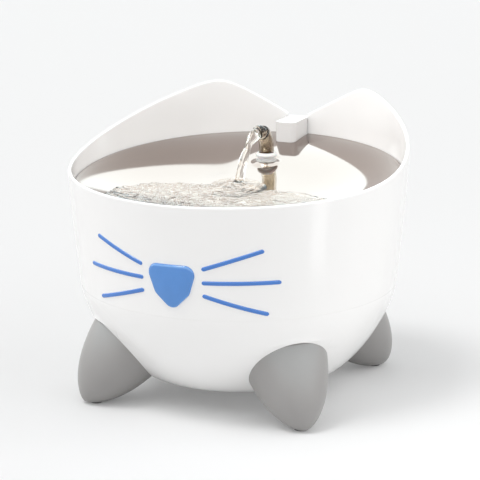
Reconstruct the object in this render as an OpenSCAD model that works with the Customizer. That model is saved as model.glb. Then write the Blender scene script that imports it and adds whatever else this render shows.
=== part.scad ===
// Pet water fountain: a bowl-shaped reservoir with a swept collar and two ears, four capped legs,
// a tilted steel drinking dish with a bent spout, a submerged pump in a filter housing,
// and a power module that sits in the valley between the ears.
// Millimetres. +Z is up, the table is z = 0, and the front of the bowl faces -Y.

/* [Bowl] */
// Outer radius of the upright collar
collar_r = 110.4; // [108:0.2:114]
// Height where the side turns upright
collar_z = 155.9; // [153:0.1:159]
// How much narrower the belly's top is than the collar
belly_in = 7.1; // [5.5:0.1:9]
// Height where the belly curve ends
belly_z = 72.6; // [69:0.1:76]
// Radius of the flat underside
base_r = 60.1; // [58:0.1:63]
// Height of the flat underside above the table
base_z = 13.7; // [12.5:0.1:15]
// Thickness of the bowl's wall
wall = 2.2; // [2:0.1:3]
// Thickness of the bowl's floor
floor_t = 2.8; // [2.4:0.1:4]

/* [Rim and ears] */
// Height that the front rim settles to
rim_base_z = 143.3; // [141:0.1:146]
// Length of the blend between the front rim and the rising side
rim_blend = 20.5; // [16:0.5:24]
// Rise of the rim towards an ear, per degree round the bowl
rim_rise = 0.72; // [0.6:0.01:0.8]
// Height of an ear's tip
ear_z = 184.7; // [178:0.1:190]
// Angle from the front at which an ear peaks
ear_angle = 152.5; // [148:0.5:155]
// Rounding of an ear's tip
ear_round = 10; // [6:0.5:14]
// Height of the rim in the valley between the ears
valley_z = 161.7; // [160:0.1:165]
// Rounding of the valley
valley_round = 2; // [1:0.5:4]

/* [Legs and feet] */
// How far a foot's tip stays inside the collar's radius
foot_tip_in = 2; // [0:0.1:4]
// Lean of a foot's axis from the vertical, in degrees
foot_lean = 41.2; // [39:0.1:44]
// Half width of a leg at its thickest
leg_r = 29.4; // [28:0.1:31]
// Length over which a leg fills out
leg_len = 114; // [108:0.1:118]
// Height of the top edge of a foot cap
cap_top_z = 55; // [52:0.1:58]
// Slant of a foot cap's upper edge, in degrees
cap_slant = 63.8; // [58:0.1:68]
// Side wall of a foot cap
cap_wall = 2.2; // [1.8:0.1:3]
// Thickness of a foot cap at its tip
cap_tip = 7; // [6.5:0.1:9]
// Step of the white shoulder over the cap's edge
shoulder = 1.4; // [0.8:0.1:1.8]
// Radius of a rubber foot pad
pad_r = 3.8; // [3.3:0.1:4]
// Thickness of a rubber foot pad
pad_t = 2; // [1.6:0.1:2.6]

/* [Face] */
// Height of the nose's centre
nose_z = 94.9; // [91:0.1:98]
// Half width between the nose's upper corners
nose_w = 9.7; // [8.5:0.1:11]
// Height of the domed nose above the shell
nose_rise = 2; // [1.4:0.1:3]
// Depth of the recesses for the nose and whiskers
inlay_depth = 0.9; // [0.6:0.05:1.2]
// Width of a whisker strip
whisker_w = 2.9; // [2.4:0.1:3.4]
// Height of a whisker above the shell
whisker_rise = 0.7; // [0.5:0.05:1]

/* [Dish] */
// Height of the dish's edge at the front
seam_front_z = 131.5; // [129:0.1:134]
// Height of the dish's edge at the back
seam_back_z = 150.1; // [148:0.1:151]
// Depth of the pool below the plane of the edge
pool_depth = 11.4; // [9:0.1:13]
// Depth of the back ramp below the plane of the edge
ramp_depth = 2.3; // [1.6:0.1:3]
// Distance from the collar's back to where the ramp starts to fall
ramp_in = 41.4; // [37:0.1:46]
// Length over which the ramp falls to the pool's full depth
ramp_len = 94; // [88:1:100]
// Thickness of the steel
steel_t = 1; // [0.8:0.1:1.4]
// Width of the flat flange round the dish
flange_w = 2; // [1.6:0.1:2.6]
// Thickness of the ledge
ledge_t = 2.4; // [2:0.1:3.2]

/* [Spout] */
// Distance of the spout's axis in front of the filter housing's back face
spout_in = 17; // [15.5:0.5:18.5]
// Outer radius of the spout tube
spout_r = 5; // [4.6:0.1:5.4]
// Wall of the spout tube
spout_wall = 1.4; // [1.1:0.1:1.8]
// Straight length of the spout above its ring
spout_straight = 4.6; // [3:0.1:7]
// Bend radius of the spout
spout_bend = 12.5; // [11:0.1:14]
// Angle of the spout's bend
spout_angle = 65; // [50:1:75]
// Outer radius of the spout ring
ring_r = 7; // [6.6:0.1:7.8]
// Height of the spout ring
ring_h = 3.4; // [2.8:0.1:4.2]

/* [Power module] */
// Half width of the module
module_w = 7.4; // [7:0.1:8.2]
// Distance of the module's front face in front of the collar's back
module_in = 28.4; // [26.5:0.1:30.3]
// Depth of the module's column, from front to back
module_deep = 15; // [14:0.5:16]
// Corner radius of the module
module_round = 4; // [3:0.5:5]
// Height of the module below its cap
module_h = 32; // [30:0.5:35]
// Height of the bridge from the module's column to the collar
bridge_h = 10.6; // [10.2:0.1:11]
// Thickness of the module's wall
module_wall = 1.4; // [1.2:0.1:1.6]
// Thickness of the module's cap
module_cap_t = 1.6; // [1.2:0.1:2.4]
// Radius of the inlet jack's barrel
jack_r = 3.3; // [3.1:0.1:3.5]
// Radius of the socket in the inlet jack
socket_r = 1.75; // [1.65:0.05:1.85]
// Depth of the socket
socket_depth = 9.5; // [8.5:0.1:10.5]

/* [Filter housing] */
// Height of the suction cups
cup_h = 5.4; // [4.8:0.1:7]
// Half width of the filter housing
housing_w = 30; // [29:0.5:32]
// Length of the filter housing, from front to back
housing_len = 88; // [86:0.5:90]
// Height of the filter housing
housing_h = 45; // [44:0.5:48]
// Wall thickness of the filter housing
housing_wall = 1.8; // [1.4:0.1:2.2]
// Corner radius of the filter housing
housing_round = 10; // [8:0.5:10]
// Thickness of the housing's lid
lid_t = 2; // [1.6:0.1:2.6]
// Thickness of the filter cartridge
filter_t = 7.6; // [6.5:0.1:8.4]
// Half width of the filter cartridge
filter_w = 26; // [24:0.5:26]
// Height of the filter's grip above the lid
grip_h = 5; // [4:0.5:7]

/* [Pump] */
// Half width of the pump's body
pump_w = 19; // [18.5:0.5:21]
// Height of the pump's body
pump_h = 36; // [35:0.5:38]
// Distance of the pump's front face in front of the spout's axis
pump_in = 41; // [40:0.5:42]
// Length of the pump's body
pump_len = 34; // [33.5:0.5:35]
// Outer radius of the volute
volute_r = 17; // [16.5:0.1:17.4]
// Length of the volute
volute_len = 14.5; // [14:0.1:15]
// Radius of the impeller's blades
blade_r = 12.3; // [11.5:0.1:12.8]
// Radius of the rotor magnet
rotor_r = 6.4; // [6:0.1:6.8]
// Radius of the impeller's shaft
shaft_r = 1.1; // [1:0.05:1.3]
// Outer radius of the pump's outlet
outlet_r = 5.5; // [5.2:0.1:5.8]
// Wall of the outlet and of the riser tube
tube_wall = 1.5; // [1.3:0.1:1.8]

/* [Clearances] */
// Gap round the dish, the module and other parts that lift out
lift_gap = 0.3; // [0.25:0.05:0.5]
// Gap round parts that turn
run_gap = 0.25; // [0.2:0.05:0.3]
// Gap round parts that are pressed or glued in place
fit_gap = 0.1; // [0.05:0.05:0.15]
// Gap between the filter housing's back corners and the bowl's wall
housing_gap = 1.02; // [0.5:0.01:1.5]

/* [Hidden] */
$fn = 96;

// Bowl. The belly is a superellipse with a slight draft, and the side above it eases upright.
belly_power = 1.53;
belly_draft = 0.11;
belly_steps = 14;
side_steps = 8;
belly_r = collar_r - belly_in;
side_power = belly_draft * (collar_z - belly_z) / (collar_r - belly_r);
headroom = 6;
over_ears = ear_z + headroom;
floor_z = base_z + floor_t;
// A length that reaches past the model from its middle, for blocks that only cut.
beyond = 2 * collar_r;

function bowl_low(inset) = base_z + inset * floor_t / wall;
function bowl_full(inset) = belly_r - inset - belly_draft * (belly_z - bowl_low(inset));
function belly_share(z, inset) = (belly_z - z) / (belly_z - bowl_low(inset));
function bowl_r(z, inset = 0) =
    z >= collar_z ? collar_r - inset
    : z >= belly_z
        ? collar_r - inset - (collar_r - belly_r) * pow((collar_z - z) / (collar_z - belly_z), side_power)
        : base_r + belly_draft * (z - bowl_low(inset)) + (bowl_full(inset) - base_r)
            * pow(max(0, 1 - pow(min(1, belly_share(z, inset)), belly_power)), 1 / belly_power);
function belly_height(t, inset) = belly_z - (belly_z - bowl_low(inset)) * pow(cos(t), 2 / belly_power);
function bowl_point(z, inset) = [bowl_r(z, inset), z];
function bowl_profile(inset) = concat(
    [for (k = [0:belly_steps - 1]) bowl_point(belly_height(90 * k / belly_steps, inset), inset)],
    [for (k = [0:side_steps]) bowl_point(belly_z + (collar_z - belly_z) * k / side_steps, inset)]);

// The filter housing stands on cups on the floor, with its back corners next to the bowl's wall.
// The spout's axis is tied to it, and so is the pump.
housing_z = floor_z + cup_h;
housing_corner_r = bowl_r(housing_z, wall) - housing_gap - housing_round;
housing_back_y = housing_round + sqrt(pow(housing_corner_r, 2) - pow(housing_w - housing_round, 2));
housing_front_y = housing_back_y - housing_len;
spout_y = housing_back_y - spout_in;
pump_front_y = spout_y - pump_in;

// The bowl filled solid, drawn in from its outer surface by inset.
module bowl_solid(inset) {
    rotate_extrude()
        polygon(concat([[0, bowl_low(inset)]], bowl_profile(inset),
            [[collar_r - inset, over_ears], [0, over_ears]]));
}

// Rim. Its height depends on the angle from the front: level, then rising to the ears,
// with a rounded valley between them.
rim_stations = 120;
ear_top = ear_z + ear_round / 2;
valley_reach = ear_top - valley_z + valley_round;
valley_rise = sqrt(pow(valley_reach, 2) - pow(valley_round, 2)) / (180 - ear_angle);

function soft_max(a, b, blend) = (a + b + sqrt(pow(a - b, 2) + pow(blend, 2))) / 2;
function soft_min(a, b, blend) = (a + b - sqrt(pow(a - b, 2) + pow(blend, 2))) / 2;
function rim_side(phi) = soft_max(rim_base_z, ear_top - rim_rise * (ear_angle - phi), rim_blend);
function rim_back(phi) =
    valley_z + sqrt(pow(valley_rise * (180 - phi), 2) + pow(valley_round, 2)) - valley_round;
function rim_z(phi) = soft_min(rim_side(phi), rim_back(phi), ear_round);
// A point at radius r and angle phi from the front.
function round_point(r, phi, z) = [r * sin(phi), -r * cos(phi), z];
function ring_faces(count, a, b) = [for (k = [0:count - 1]) let (n = (k + 1) % count)
    each [[a + k, a + n, b + n], [a + k, b + n, b + k]]];

// Everything above the rim, as a ring that the bowl is cut with.
module above_rim() {
    count = rim_stations;
    inner_r = collar_r - 4 * wall;
    outer_r = collar_r + 4 * wall;
    top = over_ears + 10;
    angles = [for (k = [0:count - 1]) 360 * k / count];
    function height(k) = rim_z(abs(angles[k] > 180 ? angles[k] - 360 : angles[k]));
    points = concat(
        [for (k = [0:count - 1]) round_point(inner_r, angles[k], height(k))],
        [for (k = [0:count - 1]) round_point(outer_r, angles[k], height(k))],
        [for (k = [0:count - 1]) round_point(outer_r, angles[k], top)],
        [for (k = [0:count - 1]) round_point(inner_r, angles[k], top)]);
    polyhedron(points, concat(ring_faces(count, count, 0), ring_faces(count, 2 * count, count),
        ring_faces(count, 3 * count, 2 * count), ring_faces(count, 0, 3 * count)));
}

// Legs. Each is a rounded cone round an axis that leans outwards and down.
leg_names = ["foot_front_left", "foot_front_right", "foot_back_left", "foot_back_right"];
leg_turns = [-135, -45, 135, 45];
leg_power = 3.745;
leg_root = 1.497;
leg_cut = 0.66 * leg_len;
leg_steps = 22;
function leg_half(s) = leg_r * pow(1 - pow(1 - max(0, s) / leg_len, leg_power), 1 / leg_root);
function leg_station(k) = leg_cut * pow(k / leg_steps, 1.6);
foot_tip_r = collar_r - foot_tip_in;
// The lowest point of a leaning leg, found among close stations on its lower end.
low_stations = [for (k = [0:120]) k * leg_cut / 480];
function leg_under(s) = s * cos(foot_lean) - leg_half(s) * sin(foot_lean);
leg_low = min([for (s = low_stations) leg_under(s)]);
leg_low_s = [for (s = low_stations) if (leg_under(s) <= leg_low + 0.0001) s][0];
pad_rho = foot_tip_r - leg_low_s * sin(foot_lean) - leg_half(leg_low_s) * cos(foot_lean);
pad_show = 0.8;
cap_edge_r = lookup(cap_top_z, [for (k = [0:leg_steps]) let (s = leg_station(k))
    [s * cos(foot_lean) + leg_half(s) * sin(foot_lean) - leg_low,
     foot_tip_r - s * sin(foot_lean) + leg_half(s) * cos(foot_lean)]]);
screw_r = 1.5;
screw_head_r = 2.8;
screw_head_h = 2;
screw_len = 15;

// The leg's body, thinned by side all round and by tip at its end.
module leg_cone(side, tip) {
    translate([foot_tip_r, 0, -leg_low])
        rotate([0, -foot_lean, 0])
            rotate_extrude()
                polygon(concat([[0, tip]],
                    [for (k = [1:leg_steps]) let (s = leg_station(k))
                        [max(0.05 * k / leg_steps, leg_half(s) - side), s + tip]],
                    [[0, leg_cut + tip]]));
}
// All that lies on the cap's side of the slanted edge plane, moved outwards by shift.
module cap_side(shift) {
    translate([cap_edge_r, 0, cap_top_z])
        rotate([0, cap_slant, 0])
            translate([shift, -beyond, -beyond])
                cube(2 * beyond);
}
// The part of a leg that belongs to the shell: a core inside the cap and a shoulder above it.
module leg_core() {
    leg_cone(cap_wall + fit_gap, cap_tip + fit_gap);
    difference() {
        leg_cone(-shoulder, -shoulder);
        cap_side(-fit_gap);
    }
}
module foot_cap() {
    difference() {
        intersection() {
            leg_cone(0, 0);
            cap_side(fit_gap);
            translate([0, -beyond, pad_show]) cube(2 * beyond);
        }
        leg_cone(cap_wall, cap_tip);
        at_pad() {
            cylinder(r = pad_r + fit_gap, h = pad_t);
            cylinder(r = screw_head_r + fit_gap, h = pad_t + screw_head_h);
            cylinder(r = screw_r + fit_gap, h = screw_len);
        }
    }
}
module at_pad() {
    translate([pad_rho, 0, 0]) children();
}
module foot(k) {
    color([0.66, 0.65, 0.64])
        difference() {
            rotate([0, 0, leg_turns[k]]) foot_cap();
            bowl_solid(-fit_gap);
        }
}
module foot_pads() {
    color([0.28, 0.28, 0.29])
        for (turn = leg_turns)
            rotate([0, 0, turn])
                at_pad() cylinder(r = pad_r, h = pad_t);
}
module foot_screws() {
    color([0.7, 0.71, 0.73])
        for (turn = leg_turns)
            rotate([0, 0, turn])
                at_pad() {
                    translate([0, 0, pad_t]) cylinder(r = screw_head_r, h = screw_head_h);
                    translate([0, 0, pad_t]) cylinder(r = screw_r, h = screw_len - 1 - pad_t);
                }
}

// Face. The nose and the whiskers are inlays in the front of the shell.
nose_corner_r = 6;
nose_tip_r = 4;
nose_top = 6.8;
nose_drop = 11;
nose_cheek = [5.6, -3];
nose_dome_r = 44;
// Each whisker's tips as [inner x, inner height, outer x, outer height], heights from the nose's centre.
whisker_ends = [[19.7, 10.8, 55.5, 23.1], [19.4, 2.3, 63.6, 2.6], [19.5, -5.8, 56.4, -17.9]];

module nose_outline(grow) {
    hull() {
        for (side = [-1, 1]) {
            translate([side * nose_w, nose_top]) circle(r = nose_corner_r + grow, $fn = 40);
            translate([side * nose_cheek[0], nose_cheek[1]]) circle(r = nose_corner_r + grow, $fn = 40);
        }
        translate([0, -nose_drop]) circle(r = nose_tip_r + grow, $fn = 40);
    }
}
module whisker_outline(ends, side, grow) {
    run = [side * (ends[2] - ends[0]), ends[3] - ends[1]];
    round_r = whisker_w / 2;
    straight = norm(run) - whisker_w;
    translate([side * ends[0], ends[1]])
        rotate(atan2(run[1], run[0]))
            translate([round_r, 0]) {
                circle(r = round_r + grow);
                translate([0, -round_r - grow]) square([straight, whisker_w + 2 * grow]);
                translate([straight, 0]) circle(r = round_r + grow);
            }
}
// Carries a flat outline, drawn in X and height, through the front of the bowl.
module through_front() {
    translate([0, -20, nose_z])
        rotate([90, 0, 0])
            linear_extrude(height = collar_r) children();
}
// The skin of the bowl between two insets.
module bowl_skin(outer, inner) {
    difference() {
        bowl_solid(outer);
        bowl_solid(inner);
    }
}
module nose() {
    face_r = bowl_r(nose_z);
    color([0.33, 0.55, 0.85])
        intersection() {
            through_front() nose_outline(-fit_gap);
            bowl_skin(-nose_rise, inlay_depth - fit_gap);
            translate([0, nose_dome_r - face_r - nose_rise, nose_z + nose_top - nose_corner_r])
                sphere(r = nose_dome_r);
        }
}
module whiskers(side) {
    color([0.28, 0.5, 0.82])
        intersection() {
            through_front()
                for (ends = whisker_ends) whisker_outline(ends, side, -fit_gap);
            bowl_skin(-whisker_rise, inlay_depth - fit_gap);
        }
}

// Dish. Its edge lies in a plane that falls to the front. The floor is a shallow ramp at the back
// and a pool in front, with sides that curve up to the edge.
inner_front_r = bowl_r(seam_front_z - steel_t, wall);
inner_back_r = bowl_r(seam_back_z - steel_t, wall);
dish_r = (inner_front_r + inner_back_r) / 2 - lift_gap;
dish_y = (inner_back_r - inner_front_r) / 2;
seam_slope = (seam_back_z - seam_front_z) / (2 * dish_r);
seam_tilt = atan(seam_slope);
seam_mid_z = (seam_front_z + seam_back_z) / 2;
ramp_start_y = collar_r - ramp_in;
flat_share = 0.45;
side_curve = 1.5;
seat_r = 13.5;
seat_blend = 6;
dish_rings = 20;
dish_spokes = 72;

function seam_z(y) = seam_mid_z + seam_slope * (y - dish_y);
function smooth(t) = let (u = max(0, min(1, t))) u * u * (3 - 2 * u);
function floor_depth(y) =
    ramp_depth + (pool_depth - ramp_depth) * smooth((ramp_start_y - y) / ramp_len);
function side_share(s) = 1 - pow(max(0, (s - flat_share) / (1 - flat_share)), side_curve);
function open_dish_z(x, y) =
    seam_z(y) - floor_depth(y) * side_share(min(1, norm([x, y - dish_y]) / (dish_r - flange_w)));
seat_z = open_dish_z(0, spout_y);
// Height of the dish's upper face, with the level seat of the spout ring pressed into it.
function dish_z(x, y) = let (near = 1 - smooth((norm([x, y - spout_y]) - seat_r) / seat_blend))
    open_dish_z(x, y) * (1 - near) + seat_z * near;
function dish_ring_r(k) = k == dish_rings ? dish_r : (dish_r - flange_w) * k / (dish_rings - 1);
function dish_layer(drop) = [for (k = [1:dish_rings]) for (j = [0:dish_spokes - 1])
    let (phi = 360 * j / dish_spokes, x = dish_ring_r(k) * sin(phi), y = dish_y - dish_ring_r(k) * cos(phi))
    [x, y, dish_z(x, y) - drop]];

module dish_sheet() {
    layer = dish_rings * dish_spokes;
    centre = 2 * layer;
    edge = (dish_rings - 1) * dish_spokes;
    points = concat(dish_layer(0), dish_layer(steel_t),
        [[0, dish_y, dish_z(0, dish_y)], [0, dish_y, dish_z(0, dish_y) - steel_t]]);
    top = concat(
        [for (j = [0:dish_spokes - 1]) [centre, (j + 1) % dish_spokes, j]],
        [for (k = [0:dish_rings - 2]) each ring_faces(dish_spokes, k * dish_spokes, (k + 1) * dish_spokes)]);
    under = [for (f = top) [f[0] == centre ? centre + 1 : f[0] + layer, f[2] + layer, f[1] + layer]];
    polyhedron(points, concat(top, under, ring_faces(dish_spokes, edge, edge + layer)));
}
module steel_dish() {
    color([0.75, 0.74, 0.73])
        difference() {
            dish_sheet();
            translate([0, spout_y, 0]) cylinder(r = grommet_neck_r + fit_gap, h = over_ears);
            module_block(lift_gap, beyond, 0, over_ears);
        }
}

// Spout. The tube stands in a ring and a soft grommet that seal it to the dish.
grommet_neck_r = 5.9;
grommet_lip_r = 6.8;
grommet_foot_r = 8.2;
grommet_lip_t = 1;
grommet_foot_t = 1.4;
plug_len = 7.5;
spigot_r = 4;
spigot_wall = 1.1;
riser_in_r = outlet_r + fit_gap;
riser_out_r = riser_in_r + tube_wall;
under_seat_z = seat_z - steel_t;
riser_top_z = under_seat_z - grommet_foot_t - fit_gap;
ring_low_z = seat_z + grommet_lip_t;
ring_top_z = ring_low_z + ring_h;
bend_start_z = ring_top_z + spout_straight;

// A tube about the Z axis from z = low to z = high.
module tube(outer, inner, low, high) {
    translate([0, 0, low])
        difference() {
            cylinder(r = outer, h = high - low);
            translate([0, 0, -1]) cylinder(r = inner, h = high - low + 2);
        }
}
module at_spout() {
    translate([0, spout_y, 0]) children();
}
module spout_bend_solid(r, start, turn) {
    translate([0, -spout_bend, bend_start_z])
        rotate([90, 0, 90])
            rotate([0, 0, start])
                rotate_extrude(angle = turn)
                    translate([spout_bend, 0]) circle(r = r);
}
module spout() {
    bore_r = spout_r - spout_wall;
    bend_bore_r = bore_r - 0.1;
    color([0.72, 0.68, 0.6])
        at_spout()
            difference() {
                union() {
                    translate([0, 0, ring_low_z]) cylinder(r = spout_r, h = bend_start_z - ring_low_z);
                    spout_bend_solid(spout_r, 0, spout_angle);
                    translate([0, 0, riser_top_z - plug_len])
                        cylinder(r = spigot_r, h = ring_low_z - riser_top_z + plug_len);
                }
                translate([0, 0, riser_top_z - plug_len - 1])
                    cylinder(r = spigot_r - spigot_wall, h = ring_low_z - riser_top_z + plug_len + 4);
                translate([0, 0, ring_low_z + spout_wall])
                    cylinder(r = bore_r, h = bend_start_z - ring_low_z - spout_wall + 0.2);
                spout_bend_solid(bend_bore_r, -1, spout_angle + 4);
            }
}
module spout_ring() {
    soft = ring_h * 0.3;
    inner_r = spout_r + fit_gap;
    color([0.8, 0.78, 0.76])
        at_spout()
            rotate_extrude()
                polygon([[inner_r, ring_low_z], [ring_r - soft, ring_low_z], [ring_r, ring_low_z + soft],
                    [ring_r, ring_top_z - 2 * soft], [ring_r - soft, ring_top_z - soft / 2],
                    [ring_r - 2 * soft, ring_top_z], [inner_r, ring_top_z]]);
}
module spout_grommet() {
    hole_r = spigot_r + fit_gap;
    color([0.85, 0.85, 0.84])
        at_spout()
            rotate_extrude()
                polygon([[hole_r, riser_top_z - plug_len + 1], [outlet_r - 0.2, riser_top_z - plug_len + 1],
                    [outlet_r - 0.2, riser_top_z + fit_gap], [grommet_foot_r, riser_top_z + fit_gap],
                    [grommet_foot_r, under_seat_z], [grommet_neck_r, under_seat_z],
                    [grommet_neck_r, seat_z], [grommet_lip_r, seat_z], [grommet_lip_r, ring_low_z],
                    [hole_r, ring_low_z]]);
}
module riser_tube() {
    riser_low_z = max(volute_top_z, pump_top_z) + fit_gap;
    color([0.82, 0.84, 0.86])
        at_spout() tube(riser_out_r, riser_in_r, riser_low_z, riser_top_z);
}

// Power module. Its cap sits in a notch of the rim and carries it, and the jack goes through the wall.
cap_notch_z = valley_z - module_cap_t;
module_low_z = cap_notch_z - module_h;
seal_out_r = 4.6;
seal_t = 1.5;
jack_flange_r = 4.2;
jack_flange_t = 2;
jack_z = cap_notch_z - bridge_h + module_wall + jack_flange_r + 2 * fit_gap;
seal_back_y = sqrt(pow(bowl_r(jack_z - seal_out_r, wall), 2) - pow(seal_out_r, 2)) - fit_gap;
module_back_y = seal_back_y - seal_t;
module_front_y = collar_r - module_in;
module_column_y = module_front_y + module_deep;
socket_pin_r = 0.6;
board_t = 1.2;
jack_front_y = module_column_y - module_wall - fit_gap;
pump_lead_r = 1.8;

module module_outline(grow, back) {
    w = module_w + grow;
    r = module_round + grow;
    front = module_front_y - grow;
    translate([-w, front + r]) square([2 * w, back - front - r]);
    translate([-w + r, front]) square([2 * (w - r), 2 * r]);
    for (side = [-1, 1])
        translate([side * (w - r), front + r]) circle(r = r);
}
// A cylinder along +Y from y = from to y = to, at the jack.
module jack_cylinder(r, from, to) {
    translate([0, from, jack_z])
        rotate([-90, 0, 0]) cylinder(r = r, h = to - from);
}
// A block of the module's outline from z = low to z = high, as far back as back.
module module_block(grow, back, low, high) {
    translate([0, 0, low]) linear_extrude(height = high - low) module_outline(grow, back);
}
module module_housing() {
    bridge_low_z = cap_notch_z - bridge_h;
    inner_low_z = module_low_z + module_wall;
    over_cap_z = cap_notch_z + 1;
    color([0.95, 0.95, 0.94])
        difference() {
            union() {
                module_block(0, module_column_y, module_low_z, cap_notch_z);
                module_block(0, module_back_y, bridge_low_z, cap_notch_z);
            }
            module_block(-module_wall, module_column_y - module_wall, inner_low_z, over_cap_z);
            module_block(-module_wall, module_back_y - module_wall, bridge_low_z + module_wall, over_cap_z);
            jack_cylinder(jack_r + fit_gap, module_back_y - 2 * module_wall, module_back_y + 1);
            translate([0, lead_top_y, module_low_z - 1])
                cylinder(r = pump_lead_r + fit_gap, h = module_wall + 2);
        }
}
module module_cap() {
    plug_t = 1.2;
    color([0.96, 0.96, 0.95]) {
        intersection() {
            module_block(0, collar_r, cap_notch_z, cap_notch_z + module_cap_t);
            cylinder(r = collar_r, h = over_ears);
        }
        difference() {
            module_block(-module_wall - fit_gap, module_column_y - module_wall - fit_gap,
                cap_notch_z - plug_t, cap_notch_z);
            module_block(-2 * module_wall, module_column_y - 2 * module_wall,
                cap_notch_z - plug_t - 1, cap_notch_z);
        }
    }
}
module module_seal() {
    color([0.25, 0.25, 0.26])
        difference() {
            jack_cylinder(seal_out_r, module_back_y, seal_back_y);
            jack_cylinder(jack_r + fit_gap, module_back_y - 1, seal_back_y + 1);
        }
}
module inlet_jack() {
    inner_y = module_back_y - module_wall;
    color([0.12, 0.12, 0.13]) {
        difference() {
            union() {
                intersection() {
                    jack_cylinder(jack_r, jack_front_y, collar_r);
                    cylinder(r = collar_r, h = over_ears);
                }
                jack_cylinder(jack_flange_r, inner_y - jack_flange_t, inner_y);
            }
            jack_cylinder(socket_r, collar_r - socket_depth, collar_r + 1);
        }
        jack_cylinder(socket_pin_r, collar_r - socket_depth - 0.5, collar_r - 2.5);
    }
}
module circuit_board() {
    board_w = module_w - module_wall - 0.4;
    low = module_low_z + module_wall;
    color([0.16, 0.42, 0.25]) {
        translate([-board_w, jack_front_y - board_t, low])
            cube([2 * board_w, board_t, cap_notch_z - 2 - low]);
        for (k = [0:2])
            translate([-2.5, jack_front_y - board_t - 1, low + 5 + 6 * k]) cube([5, 1, 3.6]);
    }
}

// Pump. The rotor's axis runs along Y, and the volute under the spout faces the back.
housing_floor_t = 2;
pump_low_z = housing_z + housing_floor_t;
pump_top_z = pump_low_z + pump_h;
axis_z = pump_low_z + pump_h / 2;
pump_back_y = pump_front_y + pump_len;
end_cap_t = 2;
body_wall = 3.5;
well_r = rotor_r + 3 * run_gap;
well_wall = 1.8;
well_low_y = pump_front_y + end_cap_t + 1;
volute_wall = 2.4;
chamber_r = volute_r - volute_wall;
chamber_back_y = pump_back_y + volute_len - volute_wall;
volute_back_y = pump_back_y + volute_len;
volute_top_z = axis_z + volute_r;
bush_r = 3.1;
bush_t = 2.2;
intake_r = 7.5;
spider_w = 2.4;
outlet_top_z = volute_top_z + 14;
shaft_front_y = well_low_y + 0.4;
blade_t = 1.4;
blade_count = 6;

// A cylinder along +Y on the rotor's axis.
module axis_cylinder(r, from, to) {
    translate([0, from, axis_z])
        rotate([-90, 0, 0]) cylinder(r = r, h = to - from);
}
module axis_turned() {
    translate([0, 0, axis_z]) rotate([-90, 0, 0]) children();
}
module pump_block(w, low, high, from, to) {
    translate([-w, from, low]) cube([2 * w, to - from, high - low]);
}
module pump_body() {
    cavity_w = pump_w - body_wall;
    cavity_back_y = pump_back_y - 5.5;
    color([0.2, 0.21, 0.22])
        difference() {
            pump_block(pump_w, pump_low_z, pump_top_z, pump_front_y + end_cap_t, pump_back_y);
            difference() {
                pump_block(cavity_w, pump_low_z + body_wall, pump_top_z - body_wall,
                    pump_front_y, cavity_back_y);
                axis_cylinder(well_r + well_wall, well_low_y - 1, cavity_back_y + 1);
            }
            axis_cylinder(well_r, well_low_y + bush_t, pump_back_y + 1);
            axis_cylinder(bush_r + fit_gap, well_low_y, well_low_y + bush_t + 1);
            lead_cylinder(lead_seat_r + fit_gap, 2 * body_wall);
        }
}
module pump_end_cap() {
    color([0.24, 0.25, 0.26])
        pump_block(pump_w, pump_low_z, pump_top_z, pump_front_y, pump_front_y + end_cap_t);
}
module stator_coil() {
    coil_w = pump_w - body_wall - 0.5;
    color([0.72, 0.42, 0.22])
        difference() {
            pump_block(coil_w, pump_low_z + body_wall, pump_top_z - body_wall - 0.5,
                pump_front_y + end_cap_t + 2, pump_back_y - 6);
            axis_cylinder(well_r + well_wall + fit_gap, pump_front_y, pump_back_y);
        }
}
module impeller() {
    magnet_low_y = well_low_y + bush_t + 0.4;
    disc_y = pump_back_y + 0.8;
    disc_t = 1.2;
    root_y = disc_y + disc_t / 2;
    blade_top_y = chamber_back_y - 1.4;
    hub_r = 3.2;
    color([0.9, 0.9, 0.88])
        difference() {
            union() {
                axis_cylinder(rotor_r, magnet_low_y, disc_y);
                axis_cylinder(blade_r, disc_y, disc_y + disc_t);
                axis_cylinder(hub_r, root_y, blade_top_y);
                for (k = [0:blade_count - 1])
                    axis_turned()
                        rotate([0, 0, 360 * k / blade_count])
                            translate([hub_r - 0.8, -blade_t / 2, root_y])
                                cube([blade_r - hub_r, blade_t, blade_top_y - root_y - 0.2]);
            }
            axis_cylinder(shaft_r + run_gap, magnet_low_y - 1, volute_back_y);
        }
}
module impeller_shaft() {
    color([0.94, 0.93, 0.9])
        axis_cylinder(shaft_r, shaft_front_y, volute_back_y);
}
module shaft_bushes() {
    color([0.15, 0.15, 0.16]) {
        difference() {
            axis_cylinder(bush_r, well_low_y, well_low_y + bush_t);
            axis_cylinder(shaft_r + fit_gap, shaft_front_y - 0.2, volute_back_y);
        }
        difference() {
            axis_cylinder(bush_r, chamber_back_y, volute_back_y);
            axis_cylinder(shaft_r + fit_gap, chamber_back_y - 1, volute_back_y + 1);
        }
    }
}
module volute_cover() {
    hub_r = bush_r + 1.4;
    color([0.27, 0.28, 0.3])
        difference() {
            union() {
                axis_cylinder(volute_r, pump_back_y, volute_back_y);
                at_spout() translate([0, 0, axis_z]) cylinder(r = outlet_r, h = outlet_top_z - axis_z);
            }
            axis_cylinder(chamber_r, pump_back_y - 1, chamber_back_y);
            difference() {
                axis_cylinder(intake_r, chamber_back_y - 1, volute_back_y + 1);
                axis_cylinder(hub_r, chamber_back_y - 2, volute_back_y + 2);
                translate([-intake_r, chamber_back_y, axis_z - spider_w / 2])
                    cube([2 * intake_r, volute_wall, spider_w]);
                translate([-spider_w / 2, chamber_back_y, axis_z - intake_r])
                    cube([spider_w, volute_wall, 2 * intake_r]);
            }
            axis_cylinder(bush_r + fit_gap, chamber_back_y - 1, volute_back_y + 1);
            at_spout()
                translate([0, 0, axis_z + chamber_r / 2])
                    cylinder(r = outlet_r - tube_wall, h = outlet_top_z);
        }
}

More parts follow.
